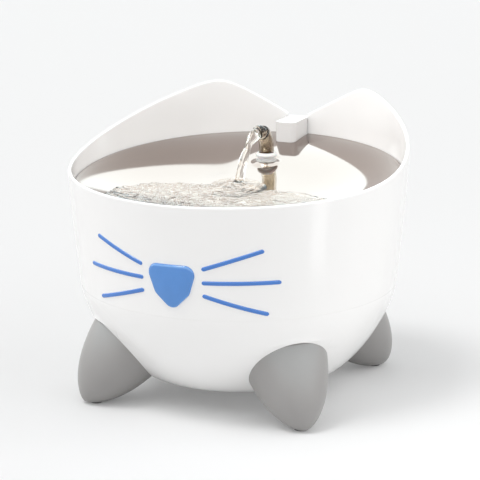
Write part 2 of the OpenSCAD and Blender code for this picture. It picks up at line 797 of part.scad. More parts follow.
// Flow dial and intake grille, on the back of the volute.
dial_t = 1.4;
dial_r = volute_r - 1.9;
dial_lever_r = volute_r + 3;
dial_lever_w = 3;
dial_hub_r = bush_r + 0.6;
dial_travel = 60;
dial_y = volute_back_y + run_gap;
grille_t = 1.2;
grille_len = dial_t + 2 * run_gap + 2.6;
lever_start = 20;

module dial_sector(r, from, to, angle_from, angle_to) {
    translate([0, 0, axis_z])
        rotate([-90, 0, 0])
            translate([0, 0, from])
                rotate([0, 0, angle_from])
                    rotate_extrude(angle = angle_to - angle_from)
                        square([r, to - from]);
}
module flow_dial() {
    color([0.85, 0.85, 0.84])
        difference() {
            union() {
                axis_cylinder(dial_r, dial_y, dial_y + dial_t);
                axis_turned()
                    rotate([0, 0, -90 - lever_start])
                        translate([dial_r - 3, -dial_lever_w / 2, dial_y])
                            cube([dial_lever_r - dial_r + 3, dial_lever_w, dial_t]);
            }
            for (k = [0:1])
                difference() {
                    dial_sector(intake_r + 0.5, dial_y - 1, dial_y + dial_t + 1, 180 * k + 5, 180 * k + 85);
                    axis_cylinder(dial_hub_r + 1.4, dial_y - 2, dial_y + dial_t + 2);
                }
            axis_cylinder(dial_hub_r + run_gap, dial_y - 1, dial_y + dial_t + 1);
        }
}
module intake_grille() {
    slot_w = 2;
    slot_gap = 4;
    back_y = volute_back_y + grille_len;
    lever_side = asin((dial_lever_w / 2 + 1) / dial_r);
    color([0.3, 0.31, 0.33])
        difference() {
            axis_cylinder(volute_r, volute_back_y, back_y);
            axis_cylinder(dial_r + run_gap, volute_back_y - 1, back_y - grille_t);
            dial_sector(volute_r + 2, volute_back_y - 1, dial_y + dial_t + run_gap,
                -90 - lever_start - lever_side, -90 - lever_start + dial_travel + lever_side);
            for (k = [-3:3])
                translate([k * slot_gap - slot_w / 2, back_y - 2 * grille_t, axis_z - 9])
                    cube([slot_w, 4 * grille_t, 18]);
        }
    color([0.3, 0.31, 0.33])
        difference() {
            axis_cylinder(dial_hub_r, volute_back_y + 0.01, back_y - grille_t);
            axis_cylinder(shaft_r + 0.6, volute_back_y - 1, back_y - grille_t - 1);
        }
}

// Filter housing, with its lid, cups and cartridge.
housing_top_z = housing_z + housing_h;
lid_top_z = housing_top_z + lid_t;
filter_in = 9;
filter_y = housing_front_y + filter_in;
rail_t = 1.4;
rail_w = housing_w - housing_wall - filter_w + 3;
cup_r = 8;
cup_in = 14;
cup_pitch = 48;
cup_spots = [for (x = [-18, 18]) for (k = [0, 1]) [x, housing_front_y + cup_in + k * cup_pitch]];
cup_nipple_r = 2;
cup_neck_r = 3.4;
cup_lip = 0.8;

module housing_outline(shrink) {
    w = housing_w - shrink;
    low = housing_front_y + shrink;
    high = housing_back_y - shrink;
    r = housing_round - shrink;
    translate([-w, low + r]) square([2 * w, high - low - 2 * r]);
    translate([-w + r, low]) square([2 * (w - r), high - low]);
    for (x = [-w + r, w - r]) for (y = [low + r, high - r])
        translate([x, y]) circle(r = r);
}
module pump_housing() {
    window_w = filter_w - 10;
    bar_w = 2;
    color([0.93, 0.93, 0.92])
        difference() {
            union() {
                difference() {
                    translate([0, 0, housing_z]) linear_extrude(height = housing_h) housing_outline(0);
                    translate([0, 0, pump_low_z])
                        linear_extrude(height = housing_h) housing_outline(housing_wall);
                    translate([-window_w, housing_front_y - 1, pump_low_z + 3])
                        cube([2 * window_w, housing_wall + 2, housing_h - 12]);
                }
                for (k = [-1:1])
                    translate([k * 10 - bar_w / 2, housing_front_y, pump_low_z + 2])
                        cube([bar_w, housing_wall, housing_h - 10]);
                for (side = [-1, 1]) for (step = [-1, 1])
                    translate([side > 0 ? housing_w - housing_wall - rail_w : -housing_w + housing_wall,
                        filter_y + step * (filter_t / 2 + lift_gap + rail_t / 2) - rail_t / 2, pump_low_z])
                        cube([rail_w, rail_t, housing_h - housing_floor_t - 4]);
            }
            for (spot = cup_spots)
                translate([spot[0], spot[1], housing_z - 1]) cylinder(r = cup_nipple_r + fit_gap, h = 5);
            lead_cylinder(pump_lead_r + 0.8, housing_w);
        }
}
module housing_lid() {
    skirt = 3;
    color([0.95, 0.95, 0.94])
        difference() {
            union() {
                translate([0, 0, housing_top_z]) linear_extrude(height = lid_t) housing_outline(0);
                translate([0, 0, housing_top_z - skirt])
                    linear_extrude(height = skirt)
                        difference() {
                            housing_outline(housing_wall + fit_gap);
                            housing_outline(2 * housing_wall);
                        }
            }
            translate([0, spout_y, housing_top_z - 5]) cylinder(r = riser_out_r + run_gap, h = 12);
            translate([-filter_w - lift_gap, filter_y - filter_t / 2 - lift_gap, housing_top_z - 5])
                cube([2 * (filter_w + lift_gap), filter_t + 2 * lift_gap, 12]);
        }
}
module suction_cups() {
    color([0.3, 0.3, 0.31])
        for (spot = cup_spots)
            translate([spot[0], spot[1], 0])
                rotate_extrude()
                    polygon([[0, floor_z + 1.5 * cup_lip], [cup_r - 3, floor_z + cup_lip],
                        [cup_r, floor_z], [cup_r, floor_z + cup_lip], [cup_neck_r, floor_z + cup_h / 2],
                        [cup_neck_r, housing_z], [cup_nipple_r, housing_z],
                        [cup_nipple_r, pump_low_z - fit_gap], [0, pump_low_z - fit_gap]]);
}
frame_low_z = pump_low_z + 0.3;
frame_top_z = lid_top_z + grip_h;
pad_low_z = frame_low_z + 3;
pad_top_z = housing_top_z - 6;
frame_side = 3;
grip_side = 8;
grip_bar = 1.8;
module filter_block(w, t, low, high) {
    translate([-w, filter_y - t / 2, low]) cube([2 * w, t, high - low]);
}
module filter_frame() {
    color([0.88, 0.89, 0.9])
        difference() {
            filter_block(filter_w, filter_t, frame_low_z, frame_top_z);
            filter_block(filter_w - frame_side, filter_t + 2, pad_low_z, pad_top_z);
            filter_block(filter_w - grip_side, filter_t + 2, lid_top_z + 1, frame_top_z - grip_bar);
        }
}
module filter_pad() {
    color([0.3, 0.32, 0.34])
        filter_block(filter_w - frame_side, filter_t - 2, pad_low_z, pad_top_z);
}
module prefilter_foam() {
    foam_front_y = filter_y + filter_t / 2 + rail_t + 3 * lift_gap + run_gap;
    color([0.55, 0.58, 0.62])
        translate([-pump_w, foam_front_y, pump_low_z])
            cube([2 * pump_w, pump_front_y - foam_front_y - run_gap, 0.95 * pump_h]);
}

// Pump lead, from the gland in the pump's side up to the power module.
lead_y = pump_front_y + 16;
lead_drop = 8;
lead_z = pump_top_z - lead_drop;
lead_seat_r = 3.2;
gland_out = 3;
lead_top_y = module_front_y + module_deep / 2 - 1;
lead_sides = 8;
lead_route = [
    [-pump_w + 1, lead_y, lead_z], [-pump_w - 6, lead_y, lead_z], [-housing_w - 3, lead_y, lead_z],
    [-38, 26, lead_z + 3], [-42, 31, lead_z + 10], [-43, 38, lead_z + 20], [-41, 47, lead_z + 30],
    [-36, 57, lead_z + 40], [-28, 68, lead_z + 49], [-18, 79, module_low_z - 15],
    [-9, 85, module_low_z - 10], [-3, lead_top_y - 0.5, module_low_z - 5], [0, lead_top_y, module_low_z],
    [0, lead_top_y, module_low_z + module_wall + 2]];

module lead_cylinder(r, reach) {
    translate([-pump_w + body_wall + 1, lead_y, lead_z])
        rotate([0, -90, 0]) cylinder(r = r, h = reach);
}
function unit(v) = v / norm(v);
function lead_heading(k) = unit(lead_route[min(k + 1, len(lead_route) - 1)] - lead_route[max(k - 1, 0)]);
function lead_side(k) = unit(cross(lead_heading(k), [0.3, -1, 0.2]));
module pump_lead() {
    count = len(lead_route);
    rings = [for (k = [0:count - 1]) let (a = lead_side(k), b = cross(lead_heading(k), a))
        each [for (j = [0:lead_sides - 1]) lead_route[k]
            + pump_lead_r * (cos(360 * j / lead_sides) * a + sin(360 * j / lead_sides) * b)]];
    faces = concat(
        [for (k = [0:count - 2]) each ring_faces(lead_sides, (k + 1) * lead_sides, k * lead_sides)],
        [[for (j = [0:lead_sides - 1]) j]],
        [[for (j = [0:lead_sides - 1]) count * lead_sides - 1 - j]]);
    color([0.2, 0.2, 0.21]) polyhedron(rings, faces);
}
module lead_gland() {
    color([0.16, 0.16, 0.17])
        difference() {
            translate([-pump_w + body_wall - 1, lead_y, lead_z])
                rotate([0, -90, 0]) cylinder(r = lead_seat_r, h = body_wall - 1 + gland_out);
            lead_cylinder(pump_lead_r + fit_gap, 20);
        }
}

// Reservoir shell: bowl, collar with ears, leg cores, dish ledge and the holes for what it carries.
module dish_ledge() {
    ledge_top = seam_mid_z - steel_t - fit_gap;
    ledge_w = flange_w - 2 * fit_gap;
    intersection() {
        translate([0, dish_y, ledge_top])
            rotate([seam_tilt, 0, 0])
                translate([0, 0, -ledge_t])
                    difference() {
                        cylinder(r = collar_r + 5, h = ledge_t);
                        translate([0, 0, -1]) cylinder(r = dish_r - ledge_w, h = ledge_t + 2);
                    }
        bowl_solid(wall / 2);
    }
}
module reservoir_shell() {
    color([0.98, 0.98, 0.98])
        difference() {
            union() {
                difference() {
                    union() {
                        bowl_solid(0);
                        for (turn = leg_turns) rotate([0, 0, turn]) leg_core();
                    }
                    bowl_solid(wall);
                }
                dish_ledge();
            }
            above_rim();
            translate([-module_w - fit_gap, module_back_y - 10, cap_notch_z])
                cube([2 * (module_w + fit_gap), 40, 40]);
            jack_cylinder(jack_r + fit_gap, module_back_y - 5, collar_r + 5);
            for (turn = leg_turns)
                rotate([0, 0, turn])
                    at_pad() cylinder(r = screw_r + fit_gap, h = screw_len);
            intersection() {
                through_front() {
                    nose_outline(0);
                    for (side = [-1, 1]) for (ends = whisker_ends) whisker_outline(ends, side, 0);
                }
                bowl_skin(-5, inlay_depth);
            }
        }
}

reservoir_shell();
foot(0);  // foot_front_left
foot(1);  // foot_front_right
foot(2);  // foot_back_left
foot(3);  // foot_back_right
foot_pads();
foot_screws();
nose();
whiskers(-1);  // whiskers_left
whiskers(1);  // whiskers_right
steel_dish();
spout();
spout_ring();
spout_grommet();
riser_tube();
module_housing();
module_cap();
module_seal();
inlet_jack();
circuit_board();
pump_lead();
lead_gland();
pump_body();
pump_end_cap();
stator_coil();
impeller();
impeller_shaft();
shaft_bushes();
volute_cover();
flow_dial();
intake_grille();
pump_housing();
housing_lid();
suction_cups();
filter_frame();
filter_pad();
prefilter_foam();
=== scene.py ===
"""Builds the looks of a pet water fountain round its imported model, one operator for each group of pieces."""

import math

import bmesh
import bpy
import numpy as np
from bpy.props import FloatProperty, FloatVectorProperty, IntProperty, PointerProperty
from mathutils import Matrix, Vector


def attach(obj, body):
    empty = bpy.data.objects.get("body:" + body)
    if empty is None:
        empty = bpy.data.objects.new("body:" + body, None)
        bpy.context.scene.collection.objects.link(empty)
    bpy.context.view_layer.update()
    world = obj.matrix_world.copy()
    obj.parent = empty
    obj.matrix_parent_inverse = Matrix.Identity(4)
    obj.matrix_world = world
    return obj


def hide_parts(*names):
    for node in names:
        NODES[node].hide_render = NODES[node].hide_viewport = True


bl_info = {
    "name": "Pet Water Fountain",
    "version": (1, 0, 0),
    "blender": (4, 5, 0),
    "location": "View3D > Sidebar > Fountain",
    "description": "Builds the looks of a pet water fountain round its packed model",
    "category": "Object",
}

MM = 0.001

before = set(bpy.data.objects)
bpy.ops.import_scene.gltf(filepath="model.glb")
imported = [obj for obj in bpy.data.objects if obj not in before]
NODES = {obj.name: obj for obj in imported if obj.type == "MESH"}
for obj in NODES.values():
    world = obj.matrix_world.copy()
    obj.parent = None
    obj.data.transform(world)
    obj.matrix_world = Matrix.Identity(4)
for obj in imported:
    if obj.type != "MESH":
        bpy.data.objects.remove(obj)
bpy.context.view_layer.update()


def length(name, description, mm):
    """A length that a user may change, given in millimetres."""
    return FloatProperty(name=name, description=description, default=mm * MM, unit="LENGTH", precision=5)


def angle(name, description, degrees):
    """An angle that a user may change, given in degrees."""
    return FloatProperty(name=name, description=description, default=math.radians(degrees), subtype="ANGLE")


def ratio(name, description, value):
    """A plain number that a user may change."""
    return FloatProperty(name=name, description=description, default=value)


def colour(name, description, value):
    """A linear colour that a user may change."""
    return FloatVectorProperty(
        name=name, description=description, default=value, size=3, subtype="COLOR", min=0, max=1
    )


# ---------------------------------------------------------------- sizes and colours


class BowlSizes(bpy.types.PropertyGroup):
    """Sizes of the reservoir's shell."""

    collar_r: length("Collar radius", "Outer radius of the upright collar", 110.4)
    collar_z: length("Collar height", "Height where the side turns upright", 155.9)
    belly_in: length("Belly inset", "How much narrower the belly's top is than the collar", 7.1)
    belly_z: length("Belly height", "Height where the belly curve ends", 72.6)
    base_r: length("Base radius", "Radius of the flat underside", 60.1)
    base_z: length("Base height", "Height of the underside above the table", 13.7)
    wall: length("Wall", "Thickness of the wall", 2.2)
    floor_t: length("Floor", "Thickness of the floor", 2.8)
    belly_power: ratio("Belly power", "Roundness of the belly's curve", 1.53)
    belly_draft: ratio("Belly draft", "Outward lean of the belly", 0.11)
    rim_base_z: length("Front rim height", "Height that the front rim settles to", 143.3)
    rim_blend: length("Rim blend", "Length of the blend from the front rim to the rise", 20.5)
    rim_rise: length("Rim rise", "Rise of the rim towards an ear, per degree", 0.72)
    ear_z: length("Ear height", "Height of an ear's tip", 184.7)
    ear_angle: angle("Ear angle", "Angle from the front at which an ear peaks", 152.5)
    ear_round: length("Ear rounding", "Rounding of an ear's tip", 10)
    valley_z: length("Valley height", "Height of the rim between the ears", 161.7)
    valley_round: length("Valley rounding", "Rounding of the valley", 2)
    notch_half: length("Notch half width", "Half width of the notch for the module's cap", 7.5)
    notch_z: length("Notch height", "Height of the notch's floor", 160.1)
    jack_hole_r: length("Jack hole radius", "Radius of the hole for the inlet jack", 3.4)
    jack_z: length("Jack height", "Height of the inlet jack", 155.3)
    columns: IntProperty(name="Columns", description="Mesh columns round the bowl", default=720, min=90)


class LegSizes(bpy.types.PropertyGroup):
    """Sizes of the leaning legs and their caps."""

    tip_in: length("Tip inset", "How far a foot's tip stays inside the collar's radius", 2)
    lean: angle("Lean", "Lean of a foot's axis from the vertical", 41.2)
    leg_r: length("Leg radius", "Half width of a leg at its thickest", 29.4)
    leg_len: length("Leg length", "Length over which a leg fills out", 114)
    leg_power: ratio("Leg power", "How fast a leg fills out", 3.745)
    leg_root: ratio("Leg root", "Roundness of a leg's tip", 1.497)
    edge_z: length("Cap edge height", "Height of a cap's upper edge", 55)
    edge_r: length("Cap edge radius", "Distance of a cap's upper edge from the bowl's axis", 97.312)
    edge_slant: angle("Cap edge slant", "Slant of a cap's upper edge", 63.8)
    cap_wall: length("Cap wall", "Thickness of a cap", 2.2)
    shoulder: length("Shoulder", "Step of the white shoulder over a cap's edge", 1.4)
    shoulder_blend: length("Shoulder blend", "Rounding of the shoulder into the bowl", 1.6)
    pad_show: length("Pad show", "How far a rubber pad stands out under its cap", 0.8)
    tip_z: length("Tip height", "Height of the axis's start above the table", 1.82505)
    gap: length("Seam", "Gap between a cap and the shoulder", 0.1)


class FaceSizes(bpy.types.PropertyGroup):
    """Sizes of the nose and whisker inlays."""

    nose_z: length("Nose height", "Height of the nose's centre", 94.9)
    nose_w: length("Nose half width", "Half width between the nose's upper corners", 9.2)
    nose_top: length("Nose top", "Height of the upper corners above the centre", 6.8)
    nose_drop: length("Nose drop", "Depth of the tip below the centre", 9.8)
    nose_corner_r: length("Nose corner", "Rounding of the upper corners", 6)
    nose_cheek_r: length("Nose cheek", "Rounding of the nose's cheeks", 6.7)
    nose_tip_r: length("Nose tip", "Rounding of the tip", 5.2)
    nose_rise: length("Nose rise", "Height of the dome above the shell", 2.4)
    whisker_w: length("Whisker width", "Width of a whisker strip", 2.7)
    whisker_rise: length("Whisker rise", "Height of a whisker above the shell", 0.65)
    inlay_depth: length("Inlay depth", "Depth of the inlays in the shell", 0.8)


class DishSizes(bpy.types.PropertyGroup):
    """Sizes of the steel dish."""

    seam_front_z: length("Front edge height", "Height of the dish's edge at the front", 131.5)
    seam_back_z: length("Back edge height", "Height of the dish's edge at the back", 150.1)
    radius: length("Radius", "Radius of the dish", 106.994)
    centre_y: length("Centre", "Place of the dish's centre behind the bowl's axis", 0.627)
    pool_depth: length("Pool depth", "Depth below the plane of the edge at the ramp's foot", 13.112)
    ramp_depth: length("Ramp depth", "Depth below the plane of the edge at the ramp's head", -8.087)
    ramp_start_y: length("Ramp start", "Place of the ramp's head behind the bowl's axis", 173.111)
    ramp_len: length("Ramp length", "Length from the ramp's head to its foot", 225.114)
    thickness: length("Thickness", "Thickness of the steel", 1)
    flange_w: length("Flange", "Width of the flat flange round the edge", 2)
    flat_share: ratio("Flat share", "Share of the radius inside which the sides stay flat", 0.3225)
    side_curve: ratio("Side curve", "Power of the sides' curve", 1.9)
    seat_z: length("Seat height", "Height of the level seat under the spout", 141.65)
    seat_r: length("Seat radius", "Radius of the level seat under the spout", 6.8)
    seat_blend: length("Seat blend", "Width of the blend round the seat", 3.4)
    hole_r: length("Hole radius", "Radius of the grommet's hole", 6)
    module_half: length("Module notch half width", "Half width of the notch round the module", 7.7)
    module_front_y: length("Module notch front", "Front of the notch round the module", 81.7)
    module_round: length("Module notch corner", "Corner radius of the notch round the module", 4.3)


class SpoutSizes(bpy.types.PropertyGroup):
    """Sizes of the clear spout and its ring."""

    spout_y: length("Spout place", "Distance of the spout behind the centre", 49)
    tube_r: length("Tube radius", "Outer radius of the tube", 5)
    tube_wall: length("Tube wall", "Wall of the tube", 1.4)
    spigot_r: length("Spigot radius", "Outer radius of the spigot under the ring", 4)
    spigot_wall: length("Spigot wall", "Wall of the spigot", 1.1)
    spigot_low_z: length("Spigot foot", "Height of the spigot's lower end", 131.66)
    ring_low_z: length("Ring foot", "Height of the ring's lower face", 142.653)
    bead_z: length("Bead", "Height of the middle of the ring's bead", 145.6)
    ring_r: length("Ring radius", "Outer radius of the ring", 7)
    bend_start_z: length("Bend start", "Height where the bend starts", 150.653)
    bend_r: length("Bend radius", "Radius of the bend", 12.5)
    bend_angle: angle("Bend angle", "Angle of the bend", 65)


class WaterSizes(bpy.types.PropertyGroup):
    """Sizes of the water in the dish and from the spout."""

    level_z: length("Level", "Height of the pool's surface", 131.4)
    ripple: length("Ripple", "Height of the ripples", 0.5)
    ripple_len: length("Ripple length", "Distance from one ripple to the next", 6.6)
    landing_x: length("Landing across", "Where the stream lands, across", -5.2)
    landing_y: length("Landing behind", "Where the stream lands, behind the centre", 13)
    landing_z: length("Landing height", "Height at which the stream meets the dish", 133.9)
    stream_r: length("Stream radius", "Radius of the stream where it lands", 2.8)
    mound_y: length("Mound", "Place of the mound round the landing, behind the centre", 3.5)
    mound_r: length("Mound radius", "Radius of the mound", 17)
    mound_h: length("Mound height", "Height of the mound over the pool", 2.6)
    edge_bead: length("Edge", "Height of the rounded edge of the water", 0.6)


class Finishes(bpy.types.PropertyGroup):
    """Colours of the finishes."""

    shell: colour("Shell", "Glossy white of the shell", (0.9, 0.893, 0.885))
    cap: colour("Foot cap", "Satin grey of the foot caps", (0.31, 0.3, 0.294))
    nose: colour("Nose", "Blue of the nose", (0.08, 0.25, 0.62))
    whisker: colour("Whiskers", "Blue of the whiskers", (0.05, 0.19, 0.58))
    steel: colour("Steel", "Warm grey of the polished steel", (0.312, 0.25, 0.222))
    clear: colour("Clear plastic", "Tint of the clear spout", (0.66, 0.6, 0.51))
    water: colour("Water", "Tint of the water", (0.97, 0.94, 0.9))
    ring: colour("Spout ring", "Pale grey of the spout ring", (0.78, 0.77, 0.76))
    module: colour("Module", "White of the power module", (0.76, 0.75, 0.745))
    floor: colour("Floor", "Pale grey of the floor", (0.825, 0.825, 0.825))


class StageSizes(bpy.types.PropertyGroup):
    """Sizes and levels of the stage: floor, lamps and camera."""

    floor_half: length("Floor", "Half width of the floor", 9000)
    sky_level: ratio("Soft light", "Level of the soft light from all round", 0.54)
    wall_level: ratio("Walls", "Level of the bright walls that polished surfaces show", 3.3)
    horizon_level: ratio("Horizon", "Level of the dark horizon that polished surfaces show", 0.7)
    wall_colour: colour("Walls' colour", "Cool white of the bright walls", (0.83, 0.965, 1.0))
    horizon_colour: colour("Horizon's colour", "Warm grey of the dark horizon", (0.95, 0.76, 0.64))
    key_level: ratio("Key lamp", "Level of the high lamp that throws the shadow", 0.85)
    key_turn: angle("Key direction", "Direction of the high lamp, from the left towards the back", -50)
    key_height: angle("Key height", "Height of the high lamp above the horizon", 68)
    key_size: angle("Key size", "Apparent size of the high lamp", 18)
    left_level: ratio("Left lamp", "Level of the soft lamp from the left", 1.03)
    left_turn: angle("Left direction", "Direction of the left lamp, from the left towards the back", -30)
    left_height: angle("Left height", "Height of the left lamp above the horizon", 28)
    right_level: ratio("Right lamp", "Level of the soft lamp from the right", 0.84)
    right_turn: angle("Right direction", "Direction of the right lamp, from the left towards the back", -190)
    right_height: angle("Right height", "Height of the right lamp above the horizon", 28)
    side_size: angle("Side lamps' size", "Apparent size of the left and right lamps", 80)
    dish_level: ratio("Dish lamp", "Power of the small lamp over the dish, in watts", 0.155)
    dish_x: length("Dish lamp across", "Place of the small lamp across", 75)
    dish_y: length("Dish lamp along", "Place of the small lamp along the front to back line", -45)
    dish_z: length("Dish lamp height", "Height of the small lamp over the dish", 300)
    dish_size: length("Dish lamp size", "Width of the small lamp over the dish", 120)
    dish_tilt: angle("Dish lamp tilt", "Tilt of the small lamp towards the ears", 40)
    back_level: ratio("Background", "Level of the background that the camera sees past the floor", 0.93)
    strip_level: ratio("Strip lamp", "Power of the tall lamp on the right, in watts", 0.08)
    strip_turn: angle("Strip direction", "Direction of the tall lamp, from the front towards the right", 70)
    strip_away: length("Strip distance", "Distance of the tall lamp from the bowl's axis", 330)
    strip_width: length("Strip width", "Width of the tall lamp", 55)
    strip_height: length("Strip height", "Height of the tall lamp", 300)
    shade: ratio("Shade", "Share of the floor's shading that the camera sees", 0.85)
    camera_x: length("Camera across", "Place of the camera across", 478.2)
    camera_y: length("Camera along", "Place of the camera along the front to back line", -1138.8)
    camera_z: length("Camera height", "Height of the camera", 408.5)
    camera_turn: angle("Camera turn", "Turn of the camera round the upright", 22.78)
    camera_pitch: angle("Camera pitch", "How far the camera looks down", 14.112)
    camera_roll: angle("Camera roll", "Roll of the camera", 0.286)
    lens: ratio("Lens", "Focal length in millimetres", 145.88)
    shift: ratio("Shift", "Sideways shift of the lens", 0.003125)


GROUPS = {
    "fountain_bowl": BowlSizes,
    "fountain_legs": LegSizes,
    "fountain_face": FaceSizes,
    "fountain_dish": DishSizes,
    "fountain_spout": SpoutSizes,
    "fountain_water": WaterSizes,
    "fountain_finishes": Finishes,
    "fountain_stage": StageSizes,
}

# Direction of each leg, in degrees from +X towards +Y.
LEG_TURNS = {
    "foot_front_left": -135,
    "foot_front_right": -45,
    "foot_back_left": 135,
    "foot_back_right": 45,
}

# ---------------------------------------------------------------- meshes


def grid_faces(rows, columns, closed_rows=False):
    """Quads between neighbouring points of a grid that is stored row by row and closed along its rows."""
    row = np.arange(rows if closed_rows else rows - 1)
    r, c = np.meshgrid(row, np.arange(columns), indexing="ij")
    below = r * columns
    above = ((r + 1) % rows) * columns
    ahead = (c + 1) % columns
    return np.stack([below + c, below + ahead, above + ahead, above + c], axis=-1).reshape(-1, 4)


def add_piece(name, points, faces, finish, body, stands_for=()):
    """Makes a smooth mesh object that rides on a body."""
    mesh = bpy.data.meshes.new(name)
    mesh.from_pydata([tuple(p) for p in points], [], [tuple(int(i) for i in f) for f in faces])
    mesh.validate()
    mesh.shade_smooth()
    return place_piece(name, mesh, finish, body, stands_for)


def place_piece(name, mesh, finish, body, stands_for=()):
    """Puts a finished mesh in the scene as a piece that rides on a body."""
    obj = bpy.data.objects.new(name, mesh)
    bpy.context.scene.collection.objects.link(obj)
    mesh.materials.clear()
    mesh.materials.append(finish)
    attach(obj, body)
    if stands_for:
        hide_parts(*stands_for)
    return obj


def face_outwards(mesh):
    """Turns every face of a closed mesh outwards."""
    bm = bmesh.new()
    bm.from_mesh(mesh)
    bmesh.ops.recalc_face_normals(bm, faces=bm.faces)
    bm.to_mesh(mesh)
    bm.free()


def soft_max(a, b, blend):
    """The larger of two values, with a rounded change from one to the other."""
    return (a + b + np.sqrt((a - b) ** 2 + blend**2)) / 2


def soft_min(a, b, blend):
    """The smaller of two values, with a rounded change from one to the other."""
    return (a + b - np.sqrt((a - b) ** 2 + blend**2)) / 2


def smooth_step(t):
    """Rises from 0 to 1 with level ends."""
    u = np.clip(t, 0, 1)
    return u * u * (3 - 2 * u)


# ---------------------------------------------------------------- materials

# Colour of the gloss on clear finishes.
CLEAR_GLOSS = (1.0, 0.86, 0.8, 1)
# Depths of the bumps: grain of moulded finishes, waves of clear ones, cells of felt and foam.
GRAIN_DEPTH = 0.1 * MM
WAVE_DEPTH = 0.3 * MM
CELL_DEPTH = 0.6 * MM


def new_material(name):
    """A node material with its shader and output only."""
    material = bpy.data.materials.new(name)
    material.use_nodes = True
    return material, material.node_tree.nodes, material.node_tree.links


def add_noise(nodes, links, coordinates, scale, detail=4.0, roughness=0.55):
    """A noise texture on the object's own coordinates, scale in waves per metre."""
    noise = nodes.new("ShaderNodeTexNoise")
    noise.inputs["Scale"].default_value = scale
    noise.inputs["Detail"].default_value = detail
    noise.inputs["Roughness"].default_value = roughness
    links.new(coordinates, noise.inputs["Vector"])
    return noise


def add_range(nodes, links, value, low, high, start=0.3, end=0.7, ease="LINEAR"):
    """Carries a value between start and end to the range from low to high."""
    spread = nodes.new("ShaderNodeMapRange")
    spread.interpolation_type = ease
    spread.inputs["From Min"].default_value = start
    spread.inputs["From Max"].default_value = end
    spread.inputs["To Min"].default_value = low
    spread.inputs["To Max"].default_value = high
    links.new(value, spread.inputs["Value"])
    return spread.outputs["Result"]


def add_colours(nodes, links, value, low, high, start=0.0, end=1.0):
    """Carries a value to the colours between low, at start, and high, at end."""
    ramp = nodes.new("ShaderNodeValToRGB")
    ends = ramp.color_ramp.elements
    ends[0].color = (*low, 1)
    ends[1].color = (*high, 1)
    ends[0].position = start
    ends[1].position = end
    links.new(value, ramp.inputs["Fac"])
    return ramp.outputs["Color"]


def add_relief(nodes, links, height, strength, depth, shader):
    """Gives a shader a bump of this depth."""
    relief = nodes.new("ShaderNodeBump")
    relief.inputs["Strength"].default_value = strength
    relief.inputs["Distance"].default_value = depth
    links.new(height, relief.inputs["Height"])
    links.new(relief.outputs["Normal"], shader.inputs["Normal"])


def shaded(base, share):
    """A colour times share, at most white."""
    return [min(1.0, c * share) for c in base]


def moulded(name, base, rough=0.4, metallic=0.0, cloud=30.0, grain=1500.0, bump=0.02, spread=0.04, **sockets):
    """A moulded, turned or pressed finish: soft clouds in its colour, fine grain in its gloss and surface."""
    material, nodes, links = new_material(name)
    shader = nodes["Principled BSDF"]
    place = nodes.new("ShaderNodeTexCoord").outputs["Object"]
    clouds = add_noise(nodes, links, place, cloud).outputs["Fac"]
    tones = (shaded(base, 1 - spread), shaded(base, 1 + spread * 0.4))
    tone = add_colours(nodes, links, clouds, *tones, start=0.35, end=0.65)
    links.new(tone, shader.inputs["Base Color"])
    fine = add_noise(nodes, links, place, grain, detail=2.0).outputs["Fac"]
    links.new(add_range(nodes, links, fine, rough * 0.9, rough * 1.1), shader.inputs["Roughness"])
    add_relief(nodes, links, fine, bump, GRAIN_DEPTH, shader)
    shader.inputs["Metallic"].default_value = metallic
    for socket, value in sockets.items():
        shader.inputs[socket.replace("_", " ")].default_value = value
    return material


def clear(name, tint, ior, rough=0.0, ripple_scale=260.0, bump=0.0):
    """A clear finish, such as water or clear plastic, with slight waves in its surface."""
    material, nodes, links = new_material(name)
    shader = nodes["Principled BSDF"]
    shader.inputs["Transmission Weight"].default_value = 1.0
    shader.inputs["IOR"].default_value = ior
    shader.inputs["Specular Tint"].default_value = CLEAR_GLOSS
    place = nodes.new("ShaderNodeTexCoord").outputs["Object"]
    waves = add_noise(nodes, links, place, ripple_scale, detail=2.0).outputs["Fac"]
    links.new(add_colours(nodes, links, waves, shaded(tint, 0.985), tint), shader.inputs["Base Color"])
    links.new(add_range(nodes, links, waves, rough, rough + 0.02), shader.inputs["Roughness"])
    add_relief(nodes, links, waves, bump, WAVE_DEPTH, shader)
    return material


def polished(name, base):
    """Polished steel with faint drawing marks round the dish."""
    material, nodes, links = new_material(name)
    shader = nodes["Principled BSDF"]
    shader.inputs["Metallic"].default_value = 1.0
    place = nodes.new("ShaderNodeTexCoord").outputs["Object"]
    clouds = add_noise(nodes, links, place, 14).outputs["Fac"]
    tone = add_colours(nodes, links, clouds, shaded(base, 0.97), shaded(base, 1.02))
    links.new(tone, shader.inputs["Base Color"])
    marks = nodes.new("ShaderNodeTexWave")
    marks.wave_type = "RINGS"
    marks.rings_direction = "Z"
    marks.inputs["Scale"].default_value = 900
    marks.inputs["Distortion"].default_value = 3.0
    marks.inputs["Detail"].default_value = 2.0
    links.new(place, marks.inputs["Vector"])
    links.new(add_range(nodes, links, marks.outputs["Fac"], 0.045, 0.075), shader.inputs["Roughness"])
    return material


def porous(name, base, scale, bump):
    """A finish with open cells, for felt and foam, with painted shade darkening the sunk middle of each cell.
    """
    material, nodes, links = new_material(name)
    shader = nodes["Principled BSDF"]
    cells = nodes.new("ShaderNodeTexVoronoi")
    cells.inputs["Scale"].default_value = scale
    links.new(nodes.new("ShaderNodeTexCoord").outputs["Object"], cells.inputs["Vector"])
    depth = cells.outputs["Distance"]
    # Painted shade: the colour drops to 0.35 of the base at each cell's middle, where the bump sinks, and is
    # full from 0.6 of the cell's reach outwards.
    tone = add_colours(nodes, links, depth, shaded(base, 0.35), base, end=0.6)
    links.new(tone, shader.inputs["Base Color"])
    shader.inputs["Roughness"].default_value = 0.95
    add_relief(nodes, links, depth, bump, CELL_DEPTH, shader)
    return material


# ---------------------------------------------------------------- shell

